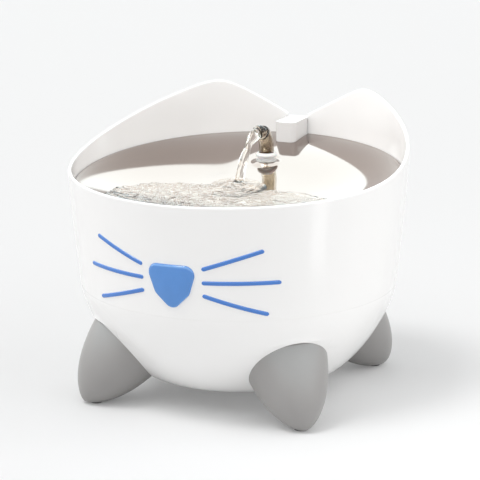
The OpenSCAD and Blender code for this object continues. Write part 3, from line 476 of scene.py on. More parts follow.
# The shell's mesh: rings of the underside and of the floor, rows of the belly, the side and the lip, and
# columns of the ledge.
UNDERSIDE_RINGS = 7
BELLY_ROWS = 64
INNER_BELLY_ROWS = 30
SIDE_ROWS = 72
LIP_ROWS = 9
LEDGE_COLUMNS = 180
# In degrees: half the distance of a pair of columns at the notch's side, and the room that the pair keeps.
PAIR_HALF = 0.02
PAIR_ROOM = 0.1
# Heights that are tried for a shoulder, and how it ends: its distance from its leg and its fade past the cap.
SHOULDER_HEIGHTS = np.arange(0, 5.01, 0.1) * MM
SHOULDER_NEAR = 12 * MM
SHOULDER_FADE_START = 2.5 * MM
SHOULDER_FADE_LEN = 2 * MM
# The ledge under the dish: its thickness, its gap under the dish, and its reach under the flange.
LEDGE_T = 2.4 * MM
LEDGE_GAP = 0.15 * MM
LEDGE_REACH = 0.3 * MM
# The step at a shoulder's edge: its width, the size of the region that is cut, how far past the edge and how
# proud a point has to be to be pressed back, and the distance within which a cut keeps to a point.
STEP_W = 0.05 * MM
STEP_REGION = 24 * MM
STEP_SIDE = 0.04 * MM
STEP_PROUD = 0.01 * MM
STEP_SNAP = 0.001 * MM


def bowl_radius(bowl, z, inset=0.0):
    """Radius of the bowl at height z, drawn in from its outer surface by inset."""
    z = np.asarray(z, float)
    span = bowl.collar_z - bowl.belly_z
    side_power = bowl.belly_draft * span / bowl.belly_in
    side = bowl.collar_r - inset - bowl.belly_in * np.clip((bowl.collar_z - z) / span, 0, None) ** side_power
    low = bowl.base_z + inset * bowl.floor_t / bowl.wall
    full = bowl.collar_r - bowl.belly_in - inset - bowl.belly_draft * (bowl.belly_z - low)
    share = np.clip((bowl.belly_z - z) / (bowl.belly_z - low), 0, 1)
    fill = np.clip(1 - share**bowl.belly_power, 0, 1) ** (1 / bowl.belly_power)
    belly = bowl.base_r + bowl.belly_draft * (z - low) + (full - bowl.base_r) * fill
    return np.where(z >= bowl.belly_z, side, belly)


def bowl_normal(bowl, z, inset=0.0):
    """Outward direction of the bowl's side at height z, as its radial and upright parts."""
    step = 0.05 * MM
    slope = (bowl_radius(bowl, z + step, inset) - bowl_radius(bowl, z - step, inset)) / (2 * step)
    size = np.sqrt(1 + slope**2)
    return 1 / size, -slope / size


def rim_height(bowl, phi):
    """Height of the rim at an angle phi in degrees from the front."""
    phi = np.abs(np.asarray(phi, float))
    ear_top = bowl.ear_z + bowl.ear_round / 2
    ear_angle = math.degrees(bowl.ear_angle)
    side = soft_max(bowl.rim_base_z, ear_top - bowl.rim_rise * (ear_angle - phi), bowl.rim_blend)
    reach = ear_top - bowl.valley_z + bowl.valley_round
    rise = math.sqrt(reach**2 - bowl.valley_round**2) / (180 - ear_angle)
    back = bowl.valley_z + np.sqrt((rise * (180 - phi)) ** 2 + bowl.valley_round**2) - bowl.valley_round
    return soft_min(side, back, bowl.ear_round)


def belly_rows(bowl, inset, count):
    """Heights of the belly's rows from its top down to the base, closer together near the base."""
    low = bowl.base_z + inset * bowl.floor_t / bowl.wall
    turn = np.linspace(0, math.pi / 2, count + 1)
    return bowl.belly_z - (bowl.belly_z - low) * np.cos(math.pi / 2 - turn) ** (2 / bowl.belly_power)


def leg_half(legs, s):
    """Half width of a leg at a distance s along its axis from the tip."""
    fill = 1 - (1 - np.clip(s, 0, legs.leg_len) / legs.leg_len) ** legs.leg_power
    return legs.leg_r * np.clip(fill, 0, 1) ** (1 / legs.leg_root)


def leg_axis(bowl, legs):
    """Start and direction of a leg's axis in the plane of the leg, as (outwards, up) pairs."""
    start = (bowl.collar_r - legs.tip_in, legs.tip_z)
    return start, (-math.sin(legs.lean), math.cos(legs.lean))


def leg_frame(points, turn):
    """Points turned so that the leg at turn degrees from +X points along +X."""
    a = math.radians(turn)
    x = points[..., 0] * math.cos(a) + points[..., 1] * math.sin(a)
    y = -points[..., 0] * math.sin(a) + points[..., 1] * math.cos(a)
    return np.stack([x, y, points[..., 2]], axis=-1)


def cone_gap(bowl, legs, local, grow):
    """Distance of points, given in a leg's own frame, from its cone grown by grow. It is negative inside."""
    start, axis = leg_axis(bowl, legs)
    dx = local[..., 0] - start[0]
    dz = local[..., 2] - start[1]
    s = dx * axis[0] + dz * axis[1]
    off = np.sqrt((dx - s * axis[0]) ** 2 + local[..., 1] ** 2 + (dz - s * axis[1]) ** 2)
    return off - leg_half(legs, s + grow) - grow


def cap_side(legs, local):
    """Distance of points past the slanted plane of a cap's edge, positive on the cap's side."""
    out = local[..., 0] - legs.edge_r
    up = local[..., 2] - legs.edge_z
    return out * math.cos(legs.edge_slant) - up * math.sin(legs.edge_slant)


def shoulder_rise(bowl, legs, points, normals):
    """How far the shoulders over the caps lift the shell's surface along its normals."""
    rise = np.zeros(points.shape[:-1])
    for turn in LEG_TURNS.values():
        local = leg_frame(points, turn)
        heading = leg_frame(normals, turn)
        gap = cone_gap(bowl, legs, local, legs.shoulder)
        reach = -np.clip(gap, 0, None)
        for height in SHOULDER_HEIGHTS:
            inside = (cone_gap(bowl, legs, local + heading * height, legs.shoulder) < 0) & (gap < 0)
            reach = np.where(inside, height, reach)
        lift = soft_max(reach, 0, legs.shoulder_blend)
        fade = 1 - smooth_step((cap_side(legs, local) - SHOULDER_FADE_START) / SHOULDER_FADE_LEN)
        near = (local[..., 0] > 0) & (gap < SHOULDER_NEAR)
        rise = np.maximum(rise, np.where(near, lift * fade, 0))
    return rise


def notch_side(bowl):
    """Angle in degrees from the back to the side of the rim's notch."""
    return math.degrees(math.asin(bowl.notch_half / bowl.collar_r))


def shell_angles(bowl):
    """Angles of the shell's columns from the front, with a close pair at each side of the rim's notch."""
    even = np.linspace(-180, 180, bowl.columns, endpoint=False)
    side = notch_side(bowl)
    pairs = [s * (180 - side) + t for s in (-1, 1) for t in (-PAIR_HALF, PAIR_HALF)]
    clear_of_pair = np.abs(180 - np.abs(even) - side) > PAIR_ROOM
    return np.sort(np.concatenate([even[clear_of_pair], pairs]))


def shell_profile(bowl, phi):
    """Rows of (radius, height) from the underside's centre over the rim to the floor's centre.

    The outer belly rows run down and the inner ones up, against the rows beside them, so the mesh also has
    four cone-shaped sheets inside the belly.
    """
    in_notch = (180 - np.abs(phi)) < notch_side(bowl)
    rim = np.where(in_notch, np.minimum(rim_height(bowl, phi), bowl.notch_z), rim_height(bowl, phi))
    lip = bowl.wall / 2
    lip_z = rim - lip
    flat = np.ones(len(phi))
    ring_step = flat * bowl.base_r / (UNDERSIDE_RINGS + 1)
    rows = [(ring_step * k, flat * bowl.base_z) for k in range(1, UNDERSIDE_RINGS + 1)]
    for z in belly_rows(bowl, 0, BELLY_ROWS)[:-1]:
        rows.append((flat * bowl_radius(bowl, z), flat * z))
    for k in range(SIDE_ROWS + 1):
        z = bowl.belly_z + (lip_z - bowl.belly_z) * k / SIDE_ROWS
        rows.append((bowl_radius(bowl, z), z))
    middle = bowl_radius(bowl, lip_z) - lip
    for k in range(1, LIP_ROWS + 1):
        a = math.pi * k / (LIP_ROWS + 1)
        rows.append((middle + lip * math.cos(a), lip_z + lip * math.sin(a)))
    for k in range(SIDE_ROWS + 1):
        z = lip_z + (bowl.belly_z - lip_z) * k / SIDE_ROWS
        rows.append((bowl_radius(bowl, z, bowl.wall), z))
    for z in belly_rows(bowl, bowl.wall, INNER_BELLY_ROWS)[::-1][1:]:
        rows.append((flat * bowl_radius(bowl, z, bowl.wall), flat * z))
    floor_z = bowl.base_z + bowl.floor_t
    rows += [(ring_step * k, flat * floor_z) for k in range(UNDERSIDE_RINGS, 0, -1)]
    return rows


def ledge_ring(bowl, dish):
    """The sloping ledge inside the shell that carries the dish, as a closed ring."""
    inner = dish.radius - dish.flange_w + LEDGE_REACH
    slope = (dish.seam_back_z - dish.seam_front_z) / (2 * dish.radius)
    middle = (dish.seam_back_z + dish.seam_front_z) / 2 - dish.thickness - LEDGE_GAP
    phi = np.linspace(0, 2 * math.pi, LEDGE_COLUMNS, endpoint=False)
    points = []
    for depth, at_wall in ((0, False), (0, True), (LEDGE_T, True), (LEDGE_T, False)):
        x = inner * np.sin(phi)
        y = dish.centre_y - inner * np.cos(phi)
        if at_wall:
            z = middle + slope * (y - dish.centre_y) - depth
            reach = bowl_radius(bowl, z, bowl.wall / 2)
            x = reach * np.sin(phi)
            y = -reach * np.cos(phi)
        z = middle + slope * (y - dish.centre_y) - depth
        points += list(zip(x, y, z))
    return points, grid_faces(4, LEDGE_COLUMNS, closed_rows=True)


def trim_shoulders(bm, bowl, legs):
    """Cuts the shell along each cap's edge plane and presses what lies on the cap's side back to the bowl."""
    for turn in LEG_TURNS.values():
        turned = Matrix.Rotation(math.radians(turn), 4, "Z")
        place = turned @ Vector((legs.edge_r, 0, legs.edge_z))
        heading = turned @ Vector((math.cos(legs.edge_slant), 0, -math.sin(legs.edge_slant)))
        for step in (0, STEP_W):
            near = [f for f in bm.faces if (f.calc_center_median() - place).length < STEP_REGION]
            parts = near + list({e for f in near for e in f.edges}) + list({v for f in near for v in f.verts})
            cut = place + heading * step
            bmesh.ops.bisect_plane(bm, geom=parts, plane_co=cut, plane_no=heading, dist=STEP_SNAP)
        for v in bm.verts:
            past = (v.co - place).dot(heading)
            if past > STEP_SIDE and (v.co - place).length < STEP_REGION:
                radius = math.hypot(v.co.x, v.co.y)
                proud = radius - float(bowl_radius(bowl, v.co.z))
                if proud > STEP_PROUD:
                    out, up = (float(n) for n in bowl_normal(bowl, v.co.z))
                    v.co.z -= proud * out * up
                    v.co.x *= (radius - proud * out * out) / radius
                    v.co.y *= (radius - proud * out * out) / radius


def pierce_back(bm, bowl):
    """Opens the hole for the inlet jack through the back of the shell."""
    hole_r = bowl.jack_hole_r
    margin = 0.25 * MM

    def off_axis(v):
        return math.hypot(v.co.x, v.co.z - bowl.jack_z)

    def near_hole(v, reach):
        return v.co.y > 0 and off_axis(v) < reach

    inside = [v for v in bm.verts if near_hole(v, hole_r + margin)]
    bmesh.ops.delete(bm, geom=inside, context="VERTS")
    edges = [e for e in bm.edges if e.is_boundary and near_hole(e.verts[0], 2 * hole_r)]
    for v in {v for e in edges for v in e.verts}:
        outer = math.hypot(v.co.x, v.co.y) > bowl.collar_r - bowl.wall / 2
        scale = hole_r / off_axis(v)
        v.co.x *= scale
        v.co.z = bowl.jack_z + (v.co.z - bowl.jack_z) * scale
        radius = float(bowl_radius(bowl, v.co.z, 0 if outer else bowl.wall))
        v.co.y = math.sqrt(radius**2 - v.co.x**2)
    bmesh.ops.bridge_loops(bm, edges=edges)


class FOUNTAIN_OT_shell(bpy.types.Operator):
    """Builds the white shell with its rim, ears, shoulders and ledge"""

    bl_idname = "fountain.shell"
    bl_label = "Shell"

    def execute(self, context):
        bowl = context.scene.fountain_bowl
        legs = context.scene.fountain_legs
        dish = context.scene.fountain_dish
        finishes = context.scene.fountain_finishes
        phi = shell_angles(bowl)
        sine = np.sin(np.radians(phi))
        cosine = np.cos(np.radians(phi))
        rows = shell_profile(bowl, phi)
        count = len(phi)
        points = np.array([np.stack([r * sine, -r * cosine, z], axis=-1) for r, z in rows])
        row = np.arange(len(rows))
        outer_belly = (row >= UNDERSIDE_RINGS) & (row < UNDERSIDE_RINGS + BELLY_ROWS)
        lifted = outer_belly & (points[:, 0, 2] < bowl.belly_z)
        height = points[lifted][..., 2]
        out, up = bowl_normal(bowl, height)
        normals = np.stack([out * sine, -out * cosine, up * np.ones_like(out)], axis=-1)
        points[lifted] += normals * shoulder_rise(bowl, legs, points[lifted], normals)[..., None]
        flat = points.reshape(-1, 3)
        faces = grid_faces(len(rows), count)
        last = (len(rows) - 1) * count
        centre_low = len(flat)
        centre_high = centre_low + 1
        fans = [(centre_low, (k + 1) % count, k) for k in range(count)]
        fans += [(centre_high, last + k, last + (k + 1) % count) for k in range(count)]
        floor_z = bowl.base_z + bowl.floor_t
        flat = np.vstack([flat, [[0, 0, bowl.base_z], [0, 0, floor_z]]])
        finish = moulded(
            "glossy white", finishes.shell, rough=0.2, cloud=9, grain=700, bump=0.012, spread=0.012,
            Coat_Weight=0.3, Coat_Roughness=0.1,
        )
        mesh = bpy.data.meshes.new("shell")
        mesh.from_pydata(flat.tolist(), [], faces.tolist() + fans)
        bm = bmesh.new()
        bm.from_mesh(mesh)
        trim_shoulders(bm, bowl, legs)
        pierce_back(bm, bowl)
        ring_points, ring = ledge_ring(bowl, dish)
        verts = [bm.verts.new(p) for p in ring_points]
        for f in ring:
            bm.faces.new([verts[i] for i in f])
        bmesh.ops.recalc_face_normals(bm, faces=bm.faces)
        bm.to_mesh(mesh)
        bm.free()
        mesh.shade_smooth()
        mesh.set_sharp_from_angle(angle=math.radians(40))
        place_piece("shell", mesh, finish, "reservoir", ("reservoir_shell",))
        return {"FINISHED"}


# ---------------------------------------------------------------- feet

# Columns and rows of a cap, how it gathers its rows at the tip, and the step of the search for its end.
CAP_COLUMNS = 160
CAP_ROWS = 72
CAP_GATHER = 1.6
CAP_STEP = 0.1 * MM
# How far a cap's end lies under the bowl's surface, and the share of the leg that is searched.
CAP_SUNK = 0.9 * MM
CAP_SHARE = 0.75


class FOUNTAIN_OT_feet(bpy.types.Operator):
    """Builds the four satin grey foot caps"""

    bl_idname = "fountain.feet"
    bl_label = "Foot caps"

    def execute(self, context):
        bowl = context.scene.fountain_bowl
        legs = context.scene.fountain_legs
        finish = moulded(
            "satin grey", context.scene.fountain_finishes.cap, rough=0.42, cloud=22, grain=2600, bump=0.10,
            spread=0.03, Specular_IOR_Level=0.5, Sheen_Weight=0.08,
        )
        for node, turn in LEG_TURNS.items():
            self.add_cap(bowl, legs, node, turn, finish)
        return {"FINISHED"}

    def add_cap(self, bowl, legs, node, turn, finish):
        """One cap, as a skin over its leg that ends at its edge plane or just inside the bowl."""
        start, axis = leg_axis(bowl, legs)
        psi = np.linspace(0, 2 * math.pi, CAP_COLUMNS, endpoint=False)

        def cone_point(s, psi):
            half = leg_half(legs, s)
            out = start[0] + s * axis[0] + half * np.cos(psi) * axis[1]
            up = start[1] + s * axis[1] - half * np.cos(psi) * axis[0]
            return np.stack([out, half * np.sin(psi), up], axis=-1)

        ends = np.zeros_like(psi)
        for s in np.arange(0, CAP_SHARE * legs.leg_len, CAP_STEP):
            p = cone_point(np.full_like(psi, s), psi)
            radius = np.hypot(p[:, 0], p[:, 1])
            under = bowl_radius(bowl, np.maximum(p[:, 2], bowl.base_z)) - radius
            buried = (under > CAP_SUNK) & (p[:, 2] > bowl.base_z + CAP_SUNK)
            bare = (cap_side(legs, p) > legs.gap) & ~buried
            ends = np.where((ends >= s - 1.5 * CAP_STEP) & bare, s, ends)
        points = []
        for k in range(1, CAP_ROWS + 1):
            p = cone_point(ends * (k / CAP_ROWS) ** CAP_GATHER, psi)
            p[:, 2] = np.maximum(p[:, 2], legs.pad_show)
            points.append(p)
        points = np.array(points).reshape(-1, 3)
        tip = cone_point(np.zeros(1), np.zeros(1))[0]
        count = len(psi)
        fan = [(len(points), (j + 1) % count, j) for j in range(count)]
        faces = grid_faces(CAP_ROWS, count).tolist() + fan
        # The cap is made along +X, and turned back to its leg.
        points = leg_frame(np.vstack([points, [tip]]), -turn)
        name = node.replace("foot", "cap")
        obj = add_piece(name, points, faces, finish, "reservoir", (node,))
        face_outwards(obj.data)
        skin = obj.modifiers.new("skin", "SOLIDIFY")
        skin.thickness = legs.cap_wall
        skin.offset = -1


# ---------------------------------------------------------------- face

# Place of the circle in a nose's cheek, from the nose's centre: across, up.
CHEEK = (5.5 * MM, -2.4 * MM)
# Columns and rows of the nose, bearings that its outline is taken from, and the least slant that counts.
NOSE_COLUMNS = 120
NOSE_ROWS = 26
NOSE_BEARINGS = 720
NOSE_SLANT = 0.02
# Shares of the nose's outline: the width of its rounded edge, and where its rows end.
NOSE_EDGE = 0.12
NOSE_HUB = 0.03
# A whisker's ends as (inner x, inner height, outer x, outer height), heights from the nose's centre.
WHISKER_ENDS = ((19.7, 10.8, 55.5, 23.1), (19.4, 2.3, 63.6, 2.6), (19.5, -5.8, 56.4, -17.9))
# Columns of a whisker, rows of its round ends and of its length, its least share of width, and its crown.
WHISKER_COLUMNS = 13
WHISKER_END_ROWS = 9
WHISKER_ROWS = 90
WHISKER_END_SHARE = 0.02
WHISKER_CROWN_POWER = 3.5


def on_front(bowl, x, z, rise):
    """A point in front of the bowl's front surface at x and z, rise away from it."""
    radius = bowl_radius(bowl, z)
    y = -np.sqrt(radius**2 - x**2)
    out, up = bowl_normal(bowl, z)
    return np.stack([x + rise * out * x / radius, y + rise * out * y / radius, z + rise * up], axis=-1)


class FOUNTAIN_OT_face(bpy.types.Operator):
    """Builds the domed nose and the whisker strips in the front of the shell"""

    bl_idname = "fountain.face"
    bl_label = "Nose and whiskers"

    def execute(self, context):
        bowl = context.scene.fountain_bowl
        face = context.scene.fountain_face
        finishes = context.scene.fountain_finishes
        nose_finish = moulded(
            "nose blue", finishes.nose, rough=0.16, cloud=60, grain=1500, bump=0.02, spread=0.05,
            Coat_Weight=0.4, Coat_Roughness=0.05,
        )
        whisker_finish = moulded(
            "whisker blue", finishes.whisker, rough=0.2, cloud=60, grain=1500, bump=0.02, spread=0.05,
            Coat_Weight=0.3, Coat_Roughness=0.06,
        )
        self.add_nose(bowl, face, nose_finish)
        for node, side in (("whiskers_left", -1), ("whiskers_right", 1)):
            self.add_whiskers(bowl, face, node, side, whisker_finish)
        return {"FINISHED"}

    def nose_reach(self, face, turn):
        """Distance from the nose's middle to its outline in the directions turn."""
        circles = [(s * face.nose_w, face.nose_top, face.nose_corner_r) for s in (-1, 1)]
        circles += [(s * CHEEK[0], CHEEK[1], face.nose_cheek_r) for s in (-1, 1)]
        circles += [(0, -face.nose_drop, face.nose_tip_r)]
        bearing = np.linspace(0, 2 * math.pi, NOSE_BEARINGS, endpoint=False)
        support = np.max([cx * np.cos(bearing) + cy * np.sin(bearing) + r for cx, cy, r in circles], axis=0)
        ahead = np.cos(turn[:, None] - bearing[None, :])
        reach = support[None, :] / np.maximum(ahead, NOSE_SLANT)
        return np.min(np.where(ahead > NOSE_SLANT, reach, np.inf), axis=1)

    def add_nose(self, bowl, face, finish):
        """The nose: a rounded edge that rises to a shallow dome."""
        turn = np.linspace(0, 2 * math.pi, NOSE_COLUMNS, endpoint=False)
        reach = self.nose_reach(face, turn)
        points = [self.nose_ring(bowl, face, turn, reach, 1.0, -face.inlay_depth)]
        for share in np.linspace(1, NOSE_HUB, NOSE_ROWS):
            inward = np.clip((1 - share) / NOSE_EDGE, 0, 1)
            rounded = math.sqrt(1 - (1 - inward) ** 2)
            rise = face.nose_rise * (0.5 * rounded + 0.5 * (1 - share**2))
            points.append(self.nose_ring(bowl, face, turn, reach, share, rise))
        rows = len(points)
        points = np.array(points).reshape(-1, 3)
        count = len(turn)
        last = (rows - 1) * count
        top, under = (
            on_front(bowl, np.zeros(1), np.full(1, face.nose_z), np.full(1, rise))[0]
            for rise in (face.nose_rise, -face.inlay_depth)
        )
        faces = grid_faces(rows, count).tolist()
        faces += [(len(points), last + j, last + (j + 1) % count) for j in range(count)]
        faces += [(len(points) + 1, (j + 1) % count, j) for j in range(count)]
        points = np.vstack([points, [top, under]])
        obj = add_piece("nose_inlay", points, faces, finish, "reservoir", ("nose",))
        face_outwards(obj.data)

    def nose_ring(self, bowl, face, turn, reach, share, rise):
        """One ring of the nose at a share of its outline."""
        x = share * reach * np.cos(turn)
        z = face.nose_z + share * reach * np.sin(turn)
        return on_front(bowl, x, z, np.full_like(x, rise))

    def add_whiskers(self, bowl, face, node, side, finish):
        """Three strips with round ends and a softly crowned top."""
        points = []
        faces = []
        across = np.linspace(-1, 1, WHISKER_COLUMNS)
        for ends in WHISKER_ENDS:
            inner = np.array([side * ends[0], ends[1]]) * MM
            outer = np.array([side * ends[2], ends[3]]) * MM
            span = np.linalg.norm(outer - inner)
            run = (outer - inner) / span
            half = face.whisker_w / 2
            rounding = half * (1 - np.cos(np.linspace(0, math.pi / 2, WHISKER_END_ROWS)))
            straight = np.linspace(half, span - half, WHISKER_ROWS)[1:-1]
            along = np.concatenate([rounding, straight, span - rounding[::-1]])
            from_end = np.clip(np.minimum(along, span - along) / half, 0, 1)
            width = half * np.sqrt(np.clip(1 - (1 - from_end) ** 2, WHISKER_END_SHARE**2, 1))
            crown = face.whisker_rise * np.sqrt(np.clip(1 - np.abs(across) ** WHISKER_CROWN_POWER, 0, 1))
            first = len(points)
            for a, w in zip(along, width):
                low_end = min(1.0, math.sqrt(w / half))
                x = inner[0] + run[0] * a - run[1] * w * across
                z = inner[1] + run[1] * a + run[0] * w * across + face.nose_z
                points += list(on_front(bowl, x, z, crown * low_end))
                points += list(on_front(bowl, x[::-1], z[::-1], np.full_like(x, -face.inlay_depth)))
            ring = 2 * len(across)
            count = len(along)
            faces += [tuple(int(i) + first for i in f) for f in grid_faces(count, ring)]
            faces.append(tuple(first + j for j in range(ring))[::-1])
            faces.append(tuple(first + (count - 1) * ring + j for j in range(ring)))
        obj = add_piece(node + "_inlay", points, faces, finish, "reservoir", (node,))
        face_outwards(obj.data)
        obj.data.set_sharp_from_angle(angle=math.radians(60))


# ---------------------------------------------------------------- dish

# Rings inside the dish's flange, shares of the flange's width at which it has rings, and columns.
DISH_RINGS = 90
FLANGE_SHARES = np.array([0.2, 0.6, 0.9, 1])
DISH_COLUMNS = 240
# Rounding of the dish's outer edge.
DISH_EDGE = 0.2 * MM
# Points of the round hole and of a notch's corner, and how far the notch's cutter reaches past the dish.
HOLE_POINTS = 48
CORNER_POINTS = 12
NOTCH_BEYOND = 20 * MM
# Heights that a cut through the dish spans.
CUT_LOW = 100 * MM
CUT_HIGH = 200 * MM


def dish_seam(dish, y):
    """Height of the plane of the dish's edge."""
    slope = (dish.seam_back_z - dish.seam_front_z) / (2 * dish.radius)
    return (dish.seam_back_z + dish.seam_front_z) / 2 + slope * (y - dish.centre_y)


def open_dish_height(dish, x, y):
    """Height of the dish's upper face without the spout's seat."""
    fall = smooth_step((dish.ramp_start_y - y) / dish.ramp_len)
    depth = dish.ramp_depth + (dish.pool_depth - dish.ramp_depth) * fall
    share = np.minimum(1, np.hypot(x, y - dish.centre_y) / (dish.radius - dish.flange_w))
    side = np.clip((share - dish.flat_share) / (1 - dish.flat_share), 0, 1) ** dish.side_curve
    return dish_seam(dish, y) - depth * (1 - side)


def dish_height(dish, spout, x, y):
    """Height of the dish's upper face, with the level seat under the spout."""
    x = np.asarray(x, float)
    y = np.asarray(y, float)
    away = np.hypot(x, y - spout.spout_y)
    near = 1 - smooth_step((away - dish.seat_r) / dish.seat_blend)
    return open_dish_height(dish, x, y) * (1 - near) + dish.seat_z * near


def cut_out(obj, outline):
    """Cuts an upright prism with this outline out of an object's mesh."""
    count = len(outline)
    points = [(x, y, z) for z in (CUT_LOW, CUT_HIGH) for x, y in outline]
    faces = [(j, (j + 1) % count, count + (j + 1) % count, count + j) for j in range(count)]
    faces += [tuple(range(count))[::-1], tuple(range(count, 2 * count))]
    mesh = bpy.data.meshes.new("cutter")
    mesh.from_pydata(points, [], faces)
    face_outwards(mesh)
    cutter = bpy.data.objects.new("cutter", mesh)
    bpy.context.scene.collection.objects.link(cutter)
    cut = obj.modifiers.new("cut", "BOOLEAN")
    cut.operation = "DIFFERENCE"
    cut.object = cutter
    cut.solver = "EXACT"
    graph = bpy.context.evaluated_depsgraph_get()
    result = bpy.data.meshes.new_from_object(obj.evaluated_get(graph))
    obj.modifiers.remove(cut)
    old = obj.data
    obj.data = result
    bpy.data.meshes.remove(old)
    bpy.data.objects.remove(cutter)
    bpy.data.meshes.remove(mesh)


class FOUNTAIN_OT_dish(bpy.types.Operator):
    """Builds the polished steel dish with its ramp, pool, seat and notch"""

    bl_idname = "fountain.dish"
    bl_label = "Steel dish"

    def execute(self, context):
        dish = context.scene.fountain_dish
        spout = context.scene.fountain_spout
        finish = polished("polished steel", context.scene.fountain_finishes.steel)
        inner = dish.radius - dish.flange_w
        rings = np.linspace(0, inner, DISH_RINGS + 1)[1:]
        radii = np.concatenate([rings, inner + dish.flange_w * FLANGE_SHARES])
        phi = np.linspace(0, 2 * math.pi, DISH_COLUMNS, endpoint=False)
        layers = []
        for drop, keep in ((0, slice(None)), (dish.thickness, slice(None, None, -1))):
            for r in radii[keep]:
                x = r * np.sin(phi)
                y = dish.centre_y - r * np.cos(phi)
                edge_round = DISH_EDGE if r > radii[-2] and drop == 0 else 0
                layers.append(np.stack([x, y, dish_height(dish, spout, x, y) - drop - edge_round], axis=-1))
        points = np.array(layers).reshape(-1, 3)
        count = len(phi)
        rows = len(layers)
        faces = grid_faces(rows, count).tolist()
        middle = float(dish_height(dish, spout, 0, dish.centre_y))
        middles = [[0, dish.centre_y, z] for z in (middle, middle - dish.thickness)]
        points = np.vstack([points, middles])
        last = (rows - 1) * count
        faces += [(rows * count, j, (j + 1) % count) for j in range(count)]
        faces += [(rows * count + 1, last + (j + 1) % count, last + j) for j in range(count)]
        obj = add_piece("dish", points, faces, finish, "dish", ("steel_dish",))
        face_outwards(obj.data)
        cut_out(obj, self.arc(0, spout.spout_y, dish.hole_r, 0, 4, HOLE_POINTS))
        cut_out(obj, self.module_outline(dish))
        obj.data.materials.clear()
        obj.data.materials.append(finish)
        obj.data.shade_smooth()
        obj.data.set_sharp_from_angle(angle=math.radians(35))
        return {"FINISHED"}

    def arc(self, x, y, r, first, quarters, count):
        """Points of an arc round (x, y), from quarter turn number first over this many quarters."""
        turns = [(first + quarters * k / count) * math.pi / 2 for k in range(count)]
        return [(x + r * math.cos(a), y + r * math.sin(a)) for a in turns]

    def module_outline(self, dish):
        """Outline of the notch round the module, open at the dish's back edge."""
        r = dish.module_round
        x = dish.module_half - r
        y = dish.module_front_y + r
        beyond = dish.radius + NOTCH_BEYOND
        corners = self.arc(-x, y, r, 2, 1, CORNER_POINTS) + self.arc(x, y, r, 3, 1, CORNER_POINTS)
        return corners + [(x + r, y), (x + r, beyond), (-x - r, beyond)]


# ---------------------------------------------------------------- spout

# Columns of the tube and of the ring, steps of the tube's upright part, its bend and its lip.
TUBE_COLUMNS = 64
RING_COLUMNS = 72
UPRIGHT_STEPS = 4
BEND_STEPS = 18
LIP_STEPS = 8
# The ring: its gap round the tube, how far its foot and collar stay inside the bead, and the bead's radius.
RING_GAP = 0.12 * MM
FOOT_IN = 1.3 * MM
COLLAR_IN = 0.9 * MM
BEAD_R = 1.3 * MM
# Heights from the bead's middle: the collar's top, and where the bead meets the foot.
COLLAR_TOP = 1.75 * MM
BEAD_FOOT = -1.25 * MM
# The bead's arc, in degrees from level, and its steps.
BEAD_START = -75
BEAD_TURN = 145
BEAD_STEPS = 14


def turned_piece(profile, centre_y):
    """Points and faces of a closed profile of (radius, height) turned round an upright axis."""
    phi = np.linspace(0, 2 * math.pi, RING_COLUMNS, endpoint=False)
    points = [(r * math.cos(a), centre_y + r * math.sin(a), z) for r, z in profile for a in phi]
    return points, grid_faces(len(profile), RING_COLUMNS, closed_rows=True)


def spout_path(spout):
    """Stations of the spout from the ring to its mouth: place, and the direction across it."""
    upright = np.linspace(spout.ring_low_z, spout.bend_start_z, UPRIGHT_STEPS + 1)
    stations = [(0.0, z) for z in upright[:-1]]
    stations += [(spout.bend_angle * k / BEND_STEPS, spout.bend_start_z) for k in range(BEND_STEPS + 1)]
    path = []
    for turn, z in stations:
        across = Vector((0, math.cos(turn), math.sin(turn)))
        y = spout.spout_y - spout.bend_r * (1 - math.cos(turn))
        path.append((Vector((0, y, z + spout.bend_r * math.sin(turn))), across))
    return path


def tube_ring(place, across, radius, count):
    """A ring of points round a place, in the plane of X and the direction across."""
    side = Vector((1, 0, 0))
    phi = np.linspace(0, 2 * math.pi, count, endpoint=False)
    return [tuple(place + side * (math.cos(a) * radius) + across * (math.sin(a) * radius)) for a in phi]


